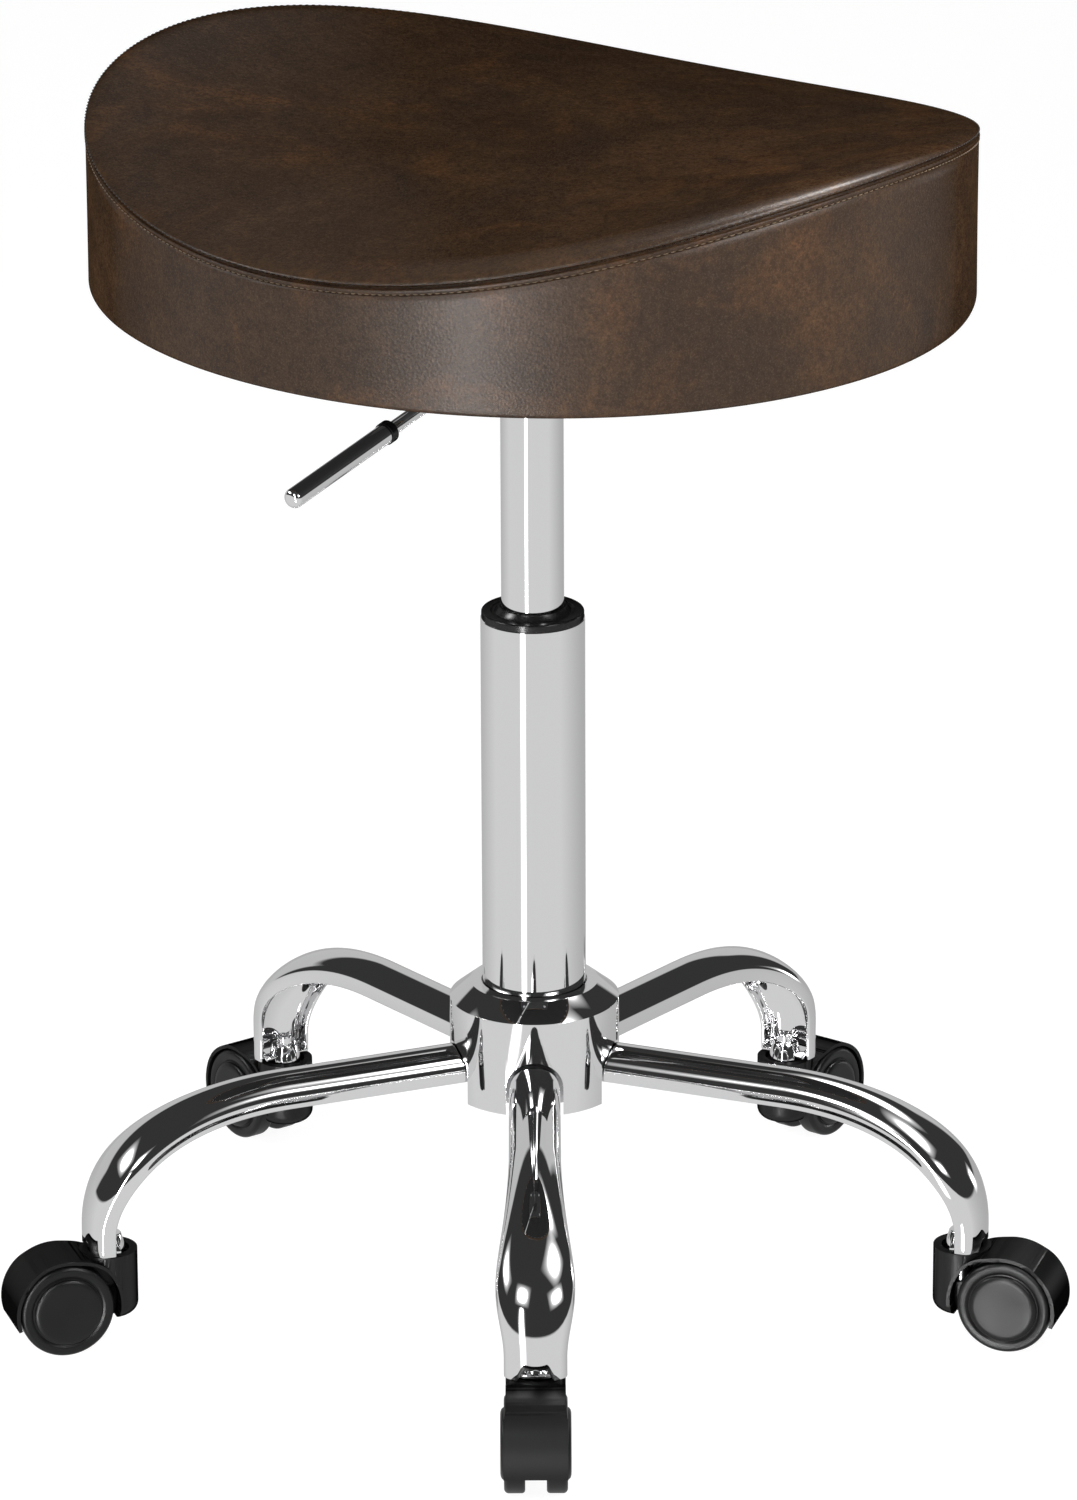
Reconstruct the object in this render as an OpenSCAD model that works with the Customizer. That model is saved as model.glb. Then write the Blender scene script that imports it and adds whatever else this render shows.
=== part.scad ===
// Saddle-shaped salon stool on a gas lift, with a five-arm chrome base and hooded twin-wheel casters.
// Origin: on the floor, on the axis of the column. +Z is up, -Y is the side of the front arm.

/* [Seat] */
// Mean radius of the seat at its top seam
seat_r = 208.6; // [190:0.1:225]
// How much longer than round the seat is along its long axis
seat_oval = 6.6; // [0:0.1:9]
// Direction of the seat's long axis
oval_turn = -47; // [-90:1:90]
// Mean height of the top seam above the underside
band_h = 72.3; // [65:0.1:90]
// Rise and fall of the saddle's rim about that mean
saddle_rise = 18.7; // [0:0.1:24]
// Direction of the saddle's high ridge
ridge_turn = -37.2; // [-90:0.2:90]
// How much the rim rises towards the nose
nose_rise = 1.6; // [0:0.2:6]
// Direction of the nose
nose_turn = -80; // [-180:1:180]
// Height of the rim's second, fourfold wave, which squares the saddle a little
rim_wave = 1.15; // [0:0.05:3]
// Direction of one crest of that second wave
wave_turn = 38; // [-45:1:45]
// Height of the pad's middle above the underside
crown_h = 71; // [60:1:90]
// Width of the rounded shoulder inside the seam
shoulder_w = 11; // [9:0.5:20]
// Height of the shoulder above the seam
shoulder_h = 1.8; // [1.6:0.1:6]
// Thickness of the leather
leather_t = 1.5; // [1:0.1:2.2]
// Height of the welt, the rounded ridge right under the top seam
welt_d = 4; // [3.4:0.2:5]
// How far the side band draws in at half height
band_draw = 0.2; // [0:0.1:2.4]
// Width of the leather that folds under the board
fold_w = 24; // [16:1:34]
// Thickness of the plywood board
board_t = 12; // [10:0.5:18]
// Thickness of the dust cloth under the seat
cloth_t = 0.6; // [0.4:0.1:1]
// Number of staples that hold the dust cloth
staple_count = 32; // [16:2:48]

/* [Seat plate and lever] */
// Side of the square seat plate
plate_side = 150; // [130:1:170]
// Thickness of the seat plate
plate_t = 3; // [2.5:0.5:5]
// Height of the plate's socket below the plate
socket_h = 46; // [42:1:60]
// Outer radius of the plate's socket
socket_r = 22; // [20.5:0.5:26]
// Side of the square on which the four plate screws sit
screw_pitch = 116; // [100:1:124]
// Diameter of the plate screws
screw_d = 6; // [5:0.5:8]
// Direction in which the lever points
lever_turn = -125; // [-160:1:-100]
// Slope of the lever below level
lever_slope = 9.4; // [4:0.2:12]
// Distance of the lever's pivot from the column axis
pivot_reach = 30; // [28:0.5:33]
// Diameter of the lever rod
lever_d = 6.5; // [6:0.1:7.5]
// Distance from the pivot to the outer end of the grip
lever_len = 164; // [140:1:200]
// Diameter of the grip
grip_d = 9.6; // [8.5:0.1:14]
// Length of the grip
grip_len = 74; // [50:1:100]

/* [Gas lift] */
// Outer diameter of the column
column_d = 50; // [48:0.5:52]
// Wall of the column
column_t = 1.8; // [1.2:0.1:2.5]
// Length of the column
column_len = 240; // [220:1:280]
// Diameter of the pressure tube
tube_d = 30; // [27:0.5:31]
// Stroke of the gas lift
lift_stroke = 110; // [70:1:120]
// Height of the guide bush's flange
bush_flange = 3.5; // [2.5:0.5:6]
// Height of the wiper lip on the guide bush
bush_lip = 2.5; // [1.5:0.5:4]
// Diameter of the piston rod
rod_d = 10; // [8:0.5:11]

/* [Base] */
// Height of the hub's lower edge above the floor
hub_z = 104; // [98:1:125]
// Radius of the hub
hub_r = 41; // [39:0.5:45]
// Height of the hub's straight wall
hub_wall_h = 47.5; // [44:0.5:60]
// Height of the cone on top of the hub
hub_cone_h = 8; // [5:0.5:12]
// Radius of the hub's flat top
hub_top_r = 31; // [29.5:0.5:36]
// Wall of the hub
hub_t = 2.5; // [2:0.1:4]
// Width of each arched opening in the hub
arch_w = 27.7; // [26.5:0.1:32]
// Height of each arched opening
arch_h = 27.5; // [26:0.5:34]
// Width of an arm at the hub
arm_root_w = 24.6; // [22:0.2:25]
// Width of an arm at its bend
arm_bend_w = 36.8; // [33:0.2:39]
// Width of an arm at its tip
arm_tip_w = 29.6; // [27:0.2:32]
// Depth of an arm's channel at the hub
arm_root_depth = 15.6; // [13:0.2:18]
// Depth of an arm's channel at its tip
arm_tip_depth = 12.4; // [11:0.2:13.5]
// Sheet thickness of the arms
arm_t = 2; // [1.5:0.1:2.6]

/* [Casters] */
// Distance of the casters' stems from the column axis
stem_reach = 216; // [200:1:240]
// Diameter of a wheel
wheel_d = 46; // [42:0.5:50]
// Width of a wheel's tread
wheel_w = 9.8; // [8:0.2:12]
// Gap between the two wheels of a caster
wheel_gap = 10; // [9.8:0.1:12]
// Diameter of the raised disc on a wheel
disc_d = 33.6; // [28:0.2:38]
// Height of that raised disc
disc_h = 1.7; // [0.8:0.1:2.6]
// Distance of the wheels' axle behind the stem
trail = 24.3; // [22:0.1:27]
// Width of the hood
hood_w = 30; // [29:0.2:34]
// Wall of the hood
hood_t = 1.4; // [1.2:0.1:1.8]
// Diameter of the swivel housing
housing_d = 28; // [27:0.2:30]
// Height of the top of the swivel housing above the floor
housing_top = 47.8; // [46:0.2:52]
// Diameter of the axles
axle_d = 5; // [4:0.5:6]
// Diameter of the stem inside the housing
stem_d = 7; // [6:0.2:7.4]

/* [Hidden] */
$fn = 96;

// Directions of the five arms
arm_turn = [-90, -18, 54, 126, 198];

// Clearances
run_gap = 0.05;
part_gap = 0.3;

// The column's foot narrows by taper over taper_h, where it seats in the hub
taper_h = 46;
taper = 0.8;

// Heights along the gas lift, from the floor
column_z = hub_z + 1;
column_top = column_z + column_len;
bush_top = column_top + bush_flange + bush_lip;
washer_t = 4;
bearing_h = 7;
buffer_h = 13;
stop_gap = 2;
socket_z = bush_top + lift_stroke + stop_gap;
plate_z = socket_z + socket_h;
board_z = plate_z + plate_t;
seat_z = board_z - leather_t;
foam_z = board_z + board_t + part_gap;

// Pressure tube: how far it enters the socket and how much stays in the guide bush
tube_seat = 16;
tube_engage = 62;
tube_top = socket_z + tube_seat;
tube_foot = column_top - tube_engage;
tube_bore = tube_d / 2 - 1.8;
tube_neck = tube_d / 2 - 0.8;
tube_plug = 12;
gland_h = 14;
piston_h = 12;
clip_t = 1.2;
clip_z = column_z - part_gap - clip_t;
clip_r = rod_d / 2 - 1;
piston_z = tube_foot + gland_h + 4;
button_d = 7;

// Lever: the pivot lies where the rod passes over the valve button
lever_drop = 23.2;
pivot_z = seat_z - lever_drop - pivot_reach * tan(lever_slope);
button_top = pivot_z + (pivot_reach - button_d / 2) * tan(lever_slope)
    - lever_d / 2 / cos(lever_slope) - part_gap;
pin_d = 3;
slot_w = lever_d + 2;
slot_z = pivot_z - lever_d / 2 - 1.5;
ear_t = 3.5;
lever_tail = 36;

// Hub and arms
hub_rim = hub_z + hub_wall_h;
hub_top = hub_rim + hub_cone_h;
sleeve_r = column_d / 2 + 3.8;
crest_z = hub_z + arch_h - 1;
arm_nose = 12;
arm_face = stem_reach + arm_nose;
arm_foot = housing_top + 0.7;
arm_fall = 0.028;
arm_root = sleeve_r + part_gap;
bend_from = 126;
bend_to = arm_foot + 9.5;
bend_lead = 62;
bend_tail = 41;
notch_w = 17;
notch_top_w = 11;
notch_h = 6;

// Caster
wheel_r = wheel_d / 2;
axle_z = wheel_r;
well_r = wheel_r + 1.2;
hood_r = well_r + hood_t;
web_w = wheel_gap - 0.6;
wheel_in = wheel_gap / 2;
tail_angle = -17;
housing_foot = 14.8;
recess_r = 10;
recess_h = 3;
stem_foot = 20;
bush_z = housing_top - recess_h + part_gap;
bush_base_r = 8.75;
bush_tip_r = 6;
bush_h = 10.5;
knob_d = 7.5;
knob_h = 4.5;

// Seat seam
seam_steps = 60;
welt_in = welt_d / 2;
band_lip = part_gap;
fold_round = 2;
board_in = fold_round + 0.8;

// Radius and height of the top seam in direction a
function seam_r(a) = seat_r + seat_oval * cos(2 * (a - oval_turn));
function seam_z(a) = seat_z + band_h + saddle_rise * cos(2 * (a - ridge_turn))
    + nose_rise * cos(a - nose_turn) + rim_wave * cos(4 * (a - wave_turn));

// A point of the pad in direction a, d under the surface.
// k from 0 to 1 runs from the middle to the shoulder, and from 1 to 2 over the shoulder to the seam.
function pad_point(a, k, d) =
    let (flat_r = seam_r(a) - shoulder_w)
    let (roll = 90 * max(0, k - 1))
    let (r = flat_r * min(1, k) + (shoulder_w - d) * sin(roll))
    let (q = (r + d * sin(roll)) / seam_r(a))
    let (mid_z = seat_z + crown_h)
    let (rise = seam_z(a) + shoulder_h - mid_z)
    [r * cos(a), r * sin(a), mid_z + rise * (0.35 * q * q + 0.65 * q * q * q)
        - shoulder_h * (1 - cos(roll)) - d * cos(roll)];

function ring(n, k, d) = [for (i = [0:n - 1]) pad_point(360 * i / n, k, d)];
function flat_list(rows) = [for (row = rows) for (p = row) p];

// A ring of points at radius seam_r - inset and height seam_z - drop
function hem_ring(n, inset, drop) =
    [for (i = [0:n - 1]) let (a = 360 * i / n)
        [(seam_r(a) - inset) * cos(a), (seam_r(a) - inset) * sin(a), seam_z(a) - drop]];

// A ring of points at radius seam_r - inset and height z above the floor
function level_ring(n, inset, z) =
    [for (i = [0:n - 1]) let (a = 360 * i / n)
        [(seam_r(a) - inset) * cos(a), (seam_r(a) - inset) * sin(a), z]];

function mix(p, q, t) = [for (i = [0:len(p) - 1]) p[i] * (1 - t) + q[i] * t];

// Faces between neighbouring rings of n points each, wound outwards for rings that run down or in.
// From ring number back on, the quads are split along their other diagonal.
function wall_faces(rings, n, back) =
    [for (j = [0:rings - 2]) for (i = [0:n - 1])
        let (a = j * n + i)
        let (b = j * n + (i + 1) % n)
        each j < back
            ? [[a, b, b + n], [a, b + n, a + n]]
            : [[a, b, a + n], [b, b + n, a + n]]];

// Faces that close a tube of rings back on its first ring
function close_faces(rings, n) =
    [for (i = [0:n - 1])
        let (a = (rings - 1) * n + i)
        let (b = (rings - 1) * n + (i + 1) % n)
        each [[a, b, (i + 1) % n], [a, (i + 1) % n, i]]];

// A closed band made of rings that go round its cross-section
module band_solid(rows) {
    n = len(rows[0]);
    polyhedron(points = flat_list(rows),
        faces = concat(wall_faces(len(rows), n, len(rows)), close_faces(len(rows), n)));
}

// A closed body: a point, rings from it downwards, and a point under them
module capped_solid(top, rows, foot, back) {
    n = len(rows[0]);
    m = len(rows) * n;
    polyhedron(points = concat(flat_list(rows), [top, foot]),
        faces = concat(
            [for (i = [0:n - 1]) [m, (i + 1) % n, i]],
            wall_faces(len(rows), n, back),
            [for (i = [0:n - 1]) [m - n + i, m - n + (i + 1) % n, m + 1]]));
}

// Outline of the seat drawn in by inset
module seat_outline(inset) {
    polygon([for (i = [0:seam_steps - 1]) let (a = 360 * i / seam_steps)
        [(seam_r(a) - inset) * cos(a), (seam_r(a) - inset) * sin(a)]]);
}

module rounded_square(side, r) {
    hull()
        for (x = [-1, 1])
            for (y = [-1, 1])
                translate([x * (side / 2 - r), y * (side / 2 - r)])
                    circle(r);
}

// Upholstery

module top_panel() {
    n = seam_steps;
    outer = [for (k = [0.25, 0.5, 0.75, 1, 1.35, 1.7, 2]) ring(n, k, 0)];
    inner = [for (k = [2, 1.7, 1.35, 1, 0.75, 0.5, 0.25]) ring(n, k, leather_t)];
    color("#3b2418")
        capped_solid(pad_point(0, 0, 0), concat(outer, inner), pad_point(0, 0, leather_t), len(outer));
}

module welt() {
    r = welt_d / 2;
    color("#33200f")
        band_solid([for (j = [0:7]) let (t = 45 * j)
            hem_ring(seam_steps, welt_in - r * cos(t), part_gap + r + r * sin(t))]);
}

// Side band: one side of its section, d inside the outer surface, from the seam to the fold
band_top = part_gap + welt_d + band_lip;
function band_side(d) = concat(
    [for (k = [0, 0.25, 0.5, 0.75])
        let (top = hem_ring(seam_steps, band_draw * sin(180 * k) + d, band_top))
        let (low = level_ring(seam_steps, band_draw * sin(180 * k) + d, seat_z + fold_round))
        [for (i = [0:seam_steps - 1]) mix(top[i], low[i], k)]],
    [for (t = [0, 45, 90])
        level_ring(seam_steps, fold_round - (fold_round - d) * cos(t),
            seat_z + fold_round - (fold_round - d) * sin(t))],
    [level_ring(seam_steps, fold_w, seat_z + d)]);

module side_band() {
    outer = band_side(0);
    inner = band_side(leather_t);
    color("#3b2418")
        band_solid(concat(outer, [for (i = [len(inner) - 1:-1:0]) inner[i]]));
}

// The foam keeps clear of the leather and of the welt
foam_side = leather_t + band_draw + part_gap;
module seat_foam() {
    d = leather_t + part_gap;
    tuck = welt_in + welt_d / 2 + part_gap;
    rows = concat(
        [for (k = [0.25, 0.5, 0.75, 1, 1.35]) ring(seam_steps, k, d)],
        [hem_ring(seam_steps, tuck, welt_d / 2 + part_gap),
         hem_ring(seam_steps, tuck, band_top),
         hem_ring(seam_steps, foam_side, band_top + 3),
         level_ring(seam_steps, foam_side, foam_z)]);
    color("#d8c98e")
        capped_solid(pad_point(0, 0, d), rows, [0, 0, foam_z], len(rows));
}

module seat_board() {
    nut_flange = 1.3;
    color("#b98d57")
        difference() {
            translate([0, 0, board_z])
                linear_extrude(board_t)
                    seat_outline(board_in);
            at_plate_screws() {
                translate([0, 0, board_z - 1])
                    cylinder(r = nut_r, h = board_t + 2);
                translate([0, 0, board_z + board_t - nut_flange])
                    cylinder(r = nut_flange_r, h = nut_flange + 1);
            }
        }
}

module dust_cloth() {
    color("#1d1c1b")
        translate([0, 0, seat_z - cloth_t])
            linear_extrude(cloth_t)
                difference() {
                    seat_outline(fold_w / 2);
                    rounded_square(plate_side + 3, 12);
                }
}

staple_wire = 0.7;
staple_w = 11;
module staples() {
    color("silver")
        for (i = [0:staple_count - 1]) {
            a = 360 * i / staple_count;
            rotate([0, 0, a])
                translate([seam_r(a) - fold_w / 2 - 4, 0, seat_z - cloth_t - staple_wire / 2])
                    cube([staple_wire, staple_w, staple_wire], center = true);
        }
}

// Seat plate, its fasteners and the lever

nut_r = 4.5;
nut_flange_r = 9;
module at_plate_screws() {
    for (x = [-1, 1])
        for (y = [-1, 1])
            translate([x * screw_pitch / 2, y * screw_pitch / 2, 0])
                children();
}

// Frame of the lever's direction: +X points along the lever, level
module lever_frame() {
    rotate([0, 0, lever_turn])
        children();
}

module seat_plate() {
    chamber_r = tube_neck - 1;
    ear_w = 20;
    color("#2b2b2d")
        difference() {
            union() {
                translate([0, 0, plate_z])
                    linear_extrude(plate_t)
                        rounded_square(plate_side, 11);
                translate([0, 0, socket_z])
                    cylinder(r = socket_r, h = socket_h);
                lever_frame()
                    for (side = [-1, 1])
                        translate([pivot_reach - ear_w / 2, side * (slot_w + ear_t) / 2 - ear_t / 2,
                            pivot_z - 8])
                            cube([ear_w, ear_t, plate_z - pivot_z + 8]);
            }
            translate([0, 0, socket_z - 1])
                cylinder(r = tube_d / 2 + run_gap, h = 1 + tube_seat / 2);
            translate([0, 0, socket_z + tube_seat / 2])
                cylinder(r = tube_neck + run_gap, h = tube_seat / 2 + run_gap);
            translate([0, 0, socket_z])
                cylinder(r = chamber_r, h = socket_h);
            lever_frame() {
                translate([0, -slot_w / 2, slot_z])
                    cube([pivot_reach + ear_w, slot_w, plate_z - slot_z]);
                translate([pivot_reach, 0, pivot_z])
                    rotate([90, 0, 0])
                        cylinder(r = pin_d / 2, h = slot_w + 4 * ear_t, center = true);
            }
            at_plate_screws()
                translate([0, 0, plate_z - 1])
                    cylinder(r = screw_d / 2 + 0.3, h = plate_t + 2);
        }
}

module plate_screws() {
    head_r = screw_d;
    head_h = screw_d * 0.6;
    color("#9a9a9c")
        at_plate_screws()
            difference() {
                union() {
                    translate([0, 0, plate_z - head_h])
                        cylinder(r = head_r, h = head_h);
                    translate([0, 0, plate_z - 0.01])
                        cylinder(r = screw_d / 2, h = plate_t + board_t - 2);
                }
                translate([0, 0, plate_z - head_h - 1])
                    cylinder(r = screw_d / 3, h = 1 + head_h / 2, $fn = 6);
            }
}

module tee_nuts() {
    flange_t = 1.2;
    color("#b5b09a")
        at_plate_screws()
            difference() {
                union() {
                    translate([0, 0, board_z + 0.6])
                        cylinder(r = nut_r - run_gap, h = board_t - 0.7);
                    translate([0, 0, board_z + board_t - flange_t])
                        cylinder(r = nut_flange_r - 0.2, h = flange_t);
                }
                translate([0, 0, board_z])
                    cylinder(r = screw_d / 2 + run_gap, h = board_t + 1);
            }
}

module lever_pin() {
    color("silver")
        lever_frame()
            translate([pivot_reach, 0, pivot_z])
                rotate([90, 0, 0]) {
                    cylinder(r = pin_d / 2, h = slot_w + 2 * ear_t + 2, center = true);
                    translate([0, 0, slot_w / 2 + ear_t])
                        cylinder(r = pin_d / 2 + 1.2, h = 1.4);
                }
}

// Frame of the lever: origin at the pivot, +X along the rod
module on_lever() {
    lever_frame()
        translate([pivot_reach, 0, pivot_z])
            rotate([0, lever_slope, 0])
                children();
}

grip_from = lever_len - grip_len;
grip_floor = 12;
ferrule_len = 5;
module lever_rod() {
    color("#d5d6d8")
        on_lever()
            difference() {
                translate([-lever_tail, 0, 0])
                    rotate([0, 90, 0])
                        cylinder(d = lever_d, h = lever_tail + lever_len - grip_floor);
                rotate([90, 0, 0])
                    cylinder(r = pin_d / 2 + run_gap, h = lever_d + 2, center = true);
            }
}

module lever_grip() {
    end_r = grip_d / 2;
    color("#d5d6d8")
        on_lever()
            translate([grip_from, 0, 0])
                rotate([0, 90, 0])
                    difference() {
                        rotate_extrude()
                            polygon(concat(
                                [[0, 0], [end_r - 0.8, 0], [end_r, 0.8]],
                                [for (t = [0:15:90]) [end_r * cos(t), grip_len - end_r + end_r * sin(t)]]));
                        translate([0, 0, -1])
                            cylinder(d = lever_d + 2 * run_gap, h = grip_len - grip_floor + run_gap + 1);
                    }
}

module grip_ferrule() {
    color("#161616")
        on_lever()
            translate([grip_from - ferrule_len, 0, 0])
                rotate([0, 90, 0])
                    difference() {
                        cylinder(d = grip_d + 1.2, h = ferrule_len);
                        translate([0, 0, -1])
                            cylinder(d = lever_d + 2 * run_gap, h = ferrule_len + 2);
                    }
}

// Gas lift

module pressure_tube() {
    color("#d5d6d8")
        difference() {
            union() {
                translate([0, 0, tube_foot])
                    cylinder(d = tube_d, h = tube_top - tube_foot - tube_seat / 2);
                translate([0, 0, tube_foot])
                    cylinder(r = tube_neck, h = tube_top - tube_foot);
            }
            translate([0, 0, tube_foot - 1])
                cylinder(r = tube_bore, h = tube_top - tube_plug - tube_foot + 1);
            cylinder(d = button_d + 2 * run_gap, h = tube_top + 1);
        }
}

module tube_gland() {
    color("#1d1c1b")
        translate([0, 0, tube_foot])
            difference() {
                cylinder(r = tube_bore - 0.02, h = gland_h);
                translate([0, 0, -1])
                    cylinder(d = rod_d + 2 * run_gap, h = gland_h + 2);
            }
}

module valve_button() {
    foot_z = tube_top - tube_plug - 3;
    color("silver")
        translate([0, 0, foot_z])
            cylinder(d = button_d, h = button_top - foot_z);
}

module guide_bush() {
    bore = tube_d / 2 + run_gap;
    skirt = 84;
    outer = column_d / 2 - column_t;
    face_r = column_d / 2 - 0.4;
    color("#161616")
        rotate_extrude()
            polygon([
                [bore, column_top - skirt],
                [outer, column_top - skirt],
                [outer, column_top],
                [face_r, column_top],
                [face_r, column_top + bush_flange - 0.8],
                [face_r - 0.8, column_top + bush_flange],
                [tube_d / 2 + 3.2, column_top + bush_flange],
                [tube_d / 2 + 1.6, bush_top],
                [bore, bush_top]
            ]);
}

module column_tube() {
    r = column_d / 2;
    color("#d5d6d8")
        rotate_extrude()
            polygon([
                [r - taper, column_z],
                [r, column_z + taper_h],
                [r, column_top],
                [r - column_t, column_top],
                [r - column_t, column_z + taper_h],
                [r - column_t - taper, column_z + washer_t],
                [r - column_t - taper, column_z]
            ]);
}

module column_washer() {
    color("#8d8f92")
        translate([0, 0, column_z])
            difference() {
                cylinder(r = column_d / 2 - column_t - taper - run_gap, h = washer_t);
                translate([0, 0, -1])
                    cylinder(d = rod_d + 2 * run_gap, h = washer_t + 2);
            }
}

// Two races and the balls between them
module thrust_bearing() {
    race_t = 2;
    ball_r = (bearing_h - 2 * race_t) / 2 - 0.1;
    pitch_r = rod_d / 2 + 3.5;
    z = column_z + washer_t;
    color("silver") {
        for (h = [0, bearing_h - race_t])
            translate([0, 0, z + h])
                difference() {
                    cylinder(r = pitch_r + 3, h = race_t);
                    translate([0, 0, -1])
                        cylinder(d = rod_d + 2 * run_gap, h = race_t + 2);
                }
        for (i = [0:9])
            rotate([0, 0, 36 * i])
                translate([pitch_r, 0, z + bearing_h / 2])
                    sphere(r = ball_r, $fn = 24);
    }
}

module piston_rod() {
    foot_z = clip_z - 1.5;
    color("silver")
        difference() {
            translate([0, 0, foot_z])
                cylinder(d = rod_d, h = piston_z + piston_h - foot_z);
            translate([0, 0, clip_z - 0.1])
                difference() {
                    cylinder(d = rod_d + 2, h = clip_t + 0.2);
                    translate([0, 0, -1])
                        cylinder(r = clip_r, h = clip_t + 3);
                }
        }
}

module rod_clip() {
    color("#4a4a4c")
        translate([0, 0, clip_z])
            difference() {
                cylinder(d = rod_d + 7, h = clip_t);
                translate([0, 0, -1])
                    cylinder(r = clip_r + run_gap, h = clip_t + 2);
                translate([-rod_d, 0, 0])
                    cube([2 * rod_d, 2 * clip_r, 4 * clip_t], center = true);
            }
}

module piston() {
    color("#3a3a3c")
        translate([0, 0, piston_z])
            difference() {
                cylinder(r = tube_bore - run_gap, h = piston_h);
                translate([0, 0, -1])
                    cylinder(d = rod_d + 0.02, h = piston_h + 2);
            }
}

module rubber_buffer() {
    color("#1d1c1b")
        translate([0, 0, column_z + washer_t + bearing_h + part_gap])
            difference() {
                cylinder(r = tube_bore, h = buffer_h);
                translate([0, 0, -1])
                    cylinder(d = rod_d + 0.02, h = buffer_h + 2);
            }
}

// Base

module hub_cover() {
    inner = hub_r - hub_t;
    edge = 1;
    color("#d5d6d8")
        difference() {
            rotate_extrude()
                polygon([
                    [hub_r - edge, hub_z],
                    [hub_r, hub_z + edge],
                    [hub_r, hub_rim - edge],
                    [hub_r - edge, hub_rim],
                    [hub_top_r + edge, hub_top - edge / 3],
                    [hub_top_r, hub_top],
                    [column_d / 2 + 0.6, hub_top],
                    [column_d / 2 + 0.6, hub_top - hub_t],
                    [hub_top_r - 1, hub_top - hub_t],
                    [inner, hub_rim - 1.5],
                    [inner, hub_z]
                ]);
            for (turn = arm_turn)
                rotate([0, 0, turn])
                    translate([sleeve_r + 1, 0, hub_z])
                        rotate([90, 0, 90])
                            linear_extrude(hub_r) {
                                translate([-arch_w / 2, -1])
                                    square([arch_w, 1 + arch_h - arch_w / 2]);
                                translate([0, arch_h - arch_w / 2])
                                    circle(d = arch_w);
                            }
        }
}

module hub_socket() {
    r = column_d / 2 + run_gap;
    top = hub_top - hub_t - part_gap;
    color("#8d8f92")
        rotate_extrude()
            polygon([
                [r - taper, column_z],
                [sleeve_r, column_z],
                [sleeve_r, top],
                [r, top],
                [r, column_z + taper_h]
            ]);
}

// Crest of an arm in the plane through the column axis, at k from 0 at the hub to 1 at the tip
crest_start = [arm_root, crest_z];
bend_start = [bend_from, crest_z - arm_fall * (bend_from - arm_root)];
bend_end = [arm_face, bend_to];
function bezier(p, q, r, s, t) =
    pow(1 - t, 3) * p + 3 * t * pow(1 - t, 2) * q + 3 * t * t * (1 - t) * r + pow(t, 3) * s;
function arm_bend(t) = bezier(bend_start, bend_start + bend_lead * [1, -arm_fall],
    bend_end + [0, bend_tail], bend_end, t);
arm_crest = concat(
    [for (t = [0, 0.35, 0.7]) mix(crest_start, bend_start, t)],
    [for (t = [0:1 / 14:0.999]) arm_bend(t)],
    [bend_end, [arm_face, arm_foot]]);

// Unit vector along the crest at station i, and the normal that points into the channel
function along(i) =
    let (p = arm_crest[max(0, i - 1)])
    let (q = arm_crest[min(len(arm_crest) - 1, i + 1)])
    let (d = i == 0 ? [1, 0] : q - p)
    d / norm(d);
function inward(i) = let (d = along(i)) [d[1], -d[0]];

// How far the crest has turned down at station i: 0 level, 1 upright
function turned(i) = max(0, min(1, atan2(-along(i)[1], along(i)[0]) / 90));
function arm_w(i) =
    let (k = turned(i))
    let (swell = max(0, sin(180 * pow(k, 1.15))))
    arm_root_w * (1 - k) + arm_tip_w * k
        + (arm_bend_w - (arm_root_w + arm_tip_w) / 2) * pow(swell, 1.6);
function arm_depth(i) = arm_root_depth * (1 - turned(i)) + arm_tip_depth * turned(i);

// Cross-section at station i, d inside the outer face: lip, rounded crest, lip
section_steps = 8;
function crown_of(i) = arm_depth(i) * (0.74 - 0.14 * turned(i));
function section(i, d) =
    let (w = arm_w(i) / 2 - d)
    let (crown = crown_of(i) - d)
    let (depth = arm_depth(i))
    concat(
        [[-w, depth]],
        [for (j = [0:section_steps]) let (t = -90 + 180 * j / section_steps)
            [w * sin(t), crown + d - crown * cos(t)]],
        [[w, depth]]);
function place(i, p) =
    let (n = inward(i))
    [arm_crest[i][0] + n[0] * p[1], p[0], arm_crest[i][1] + n[1] * p[1]];

module arm(turn) {
    stations = len(arm_crest);
    m = section_steps + 3;
    n = 2 * m;
    rows = [for (i = [0:stations - 1])
        let (outer = section(i, 0))
        let (inner = section(i, arm_t))
        concat([for (p = outer) place(i, p)], [for (j = [m - 1:-1:0]) place(i, inner[j])])];
    last = (stations - 1) * n;
    color("#d5d6d8")
        rotate([0, 0, turn])
            difference() {
                polyhedron(points = flat_list(rows),
                    faces = concat(
                        [for (f = wall_faces(stations, n, stations)) [f[0], f[2], f[1]]],
                        [for (j = [0:m - 2]) each
                            [[j, j + 1, n - 1 - j], [j + 1, n - 2 - j, n - 1 - j]]],
                        [for (j = [0:m - 2]) each
                            [[last + j, last + n - 1 - j, last + j + 1],
                             [last + j + 1, last + n - 1 - j, last + n - 2 - j]]]));
                translate([arm_face - arm_t - 1.5, 0, arm_foot])
                    rotate([90, 0, 90])
                        linear_extrude(arm_t + 4)
                            polygon([
                                [-notch_w / 2, -1],
                                [-notch_w / 2, 0],
                                [-notch_top_w / 2, notch_h - 1],
                                [0, notch_h],
                                [notch_top_w / 2, notch_h - 1],
                                [notch_w / 2, 0],
                                [notch_w / 2, -1]
                            ]);
            }
}

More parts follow.
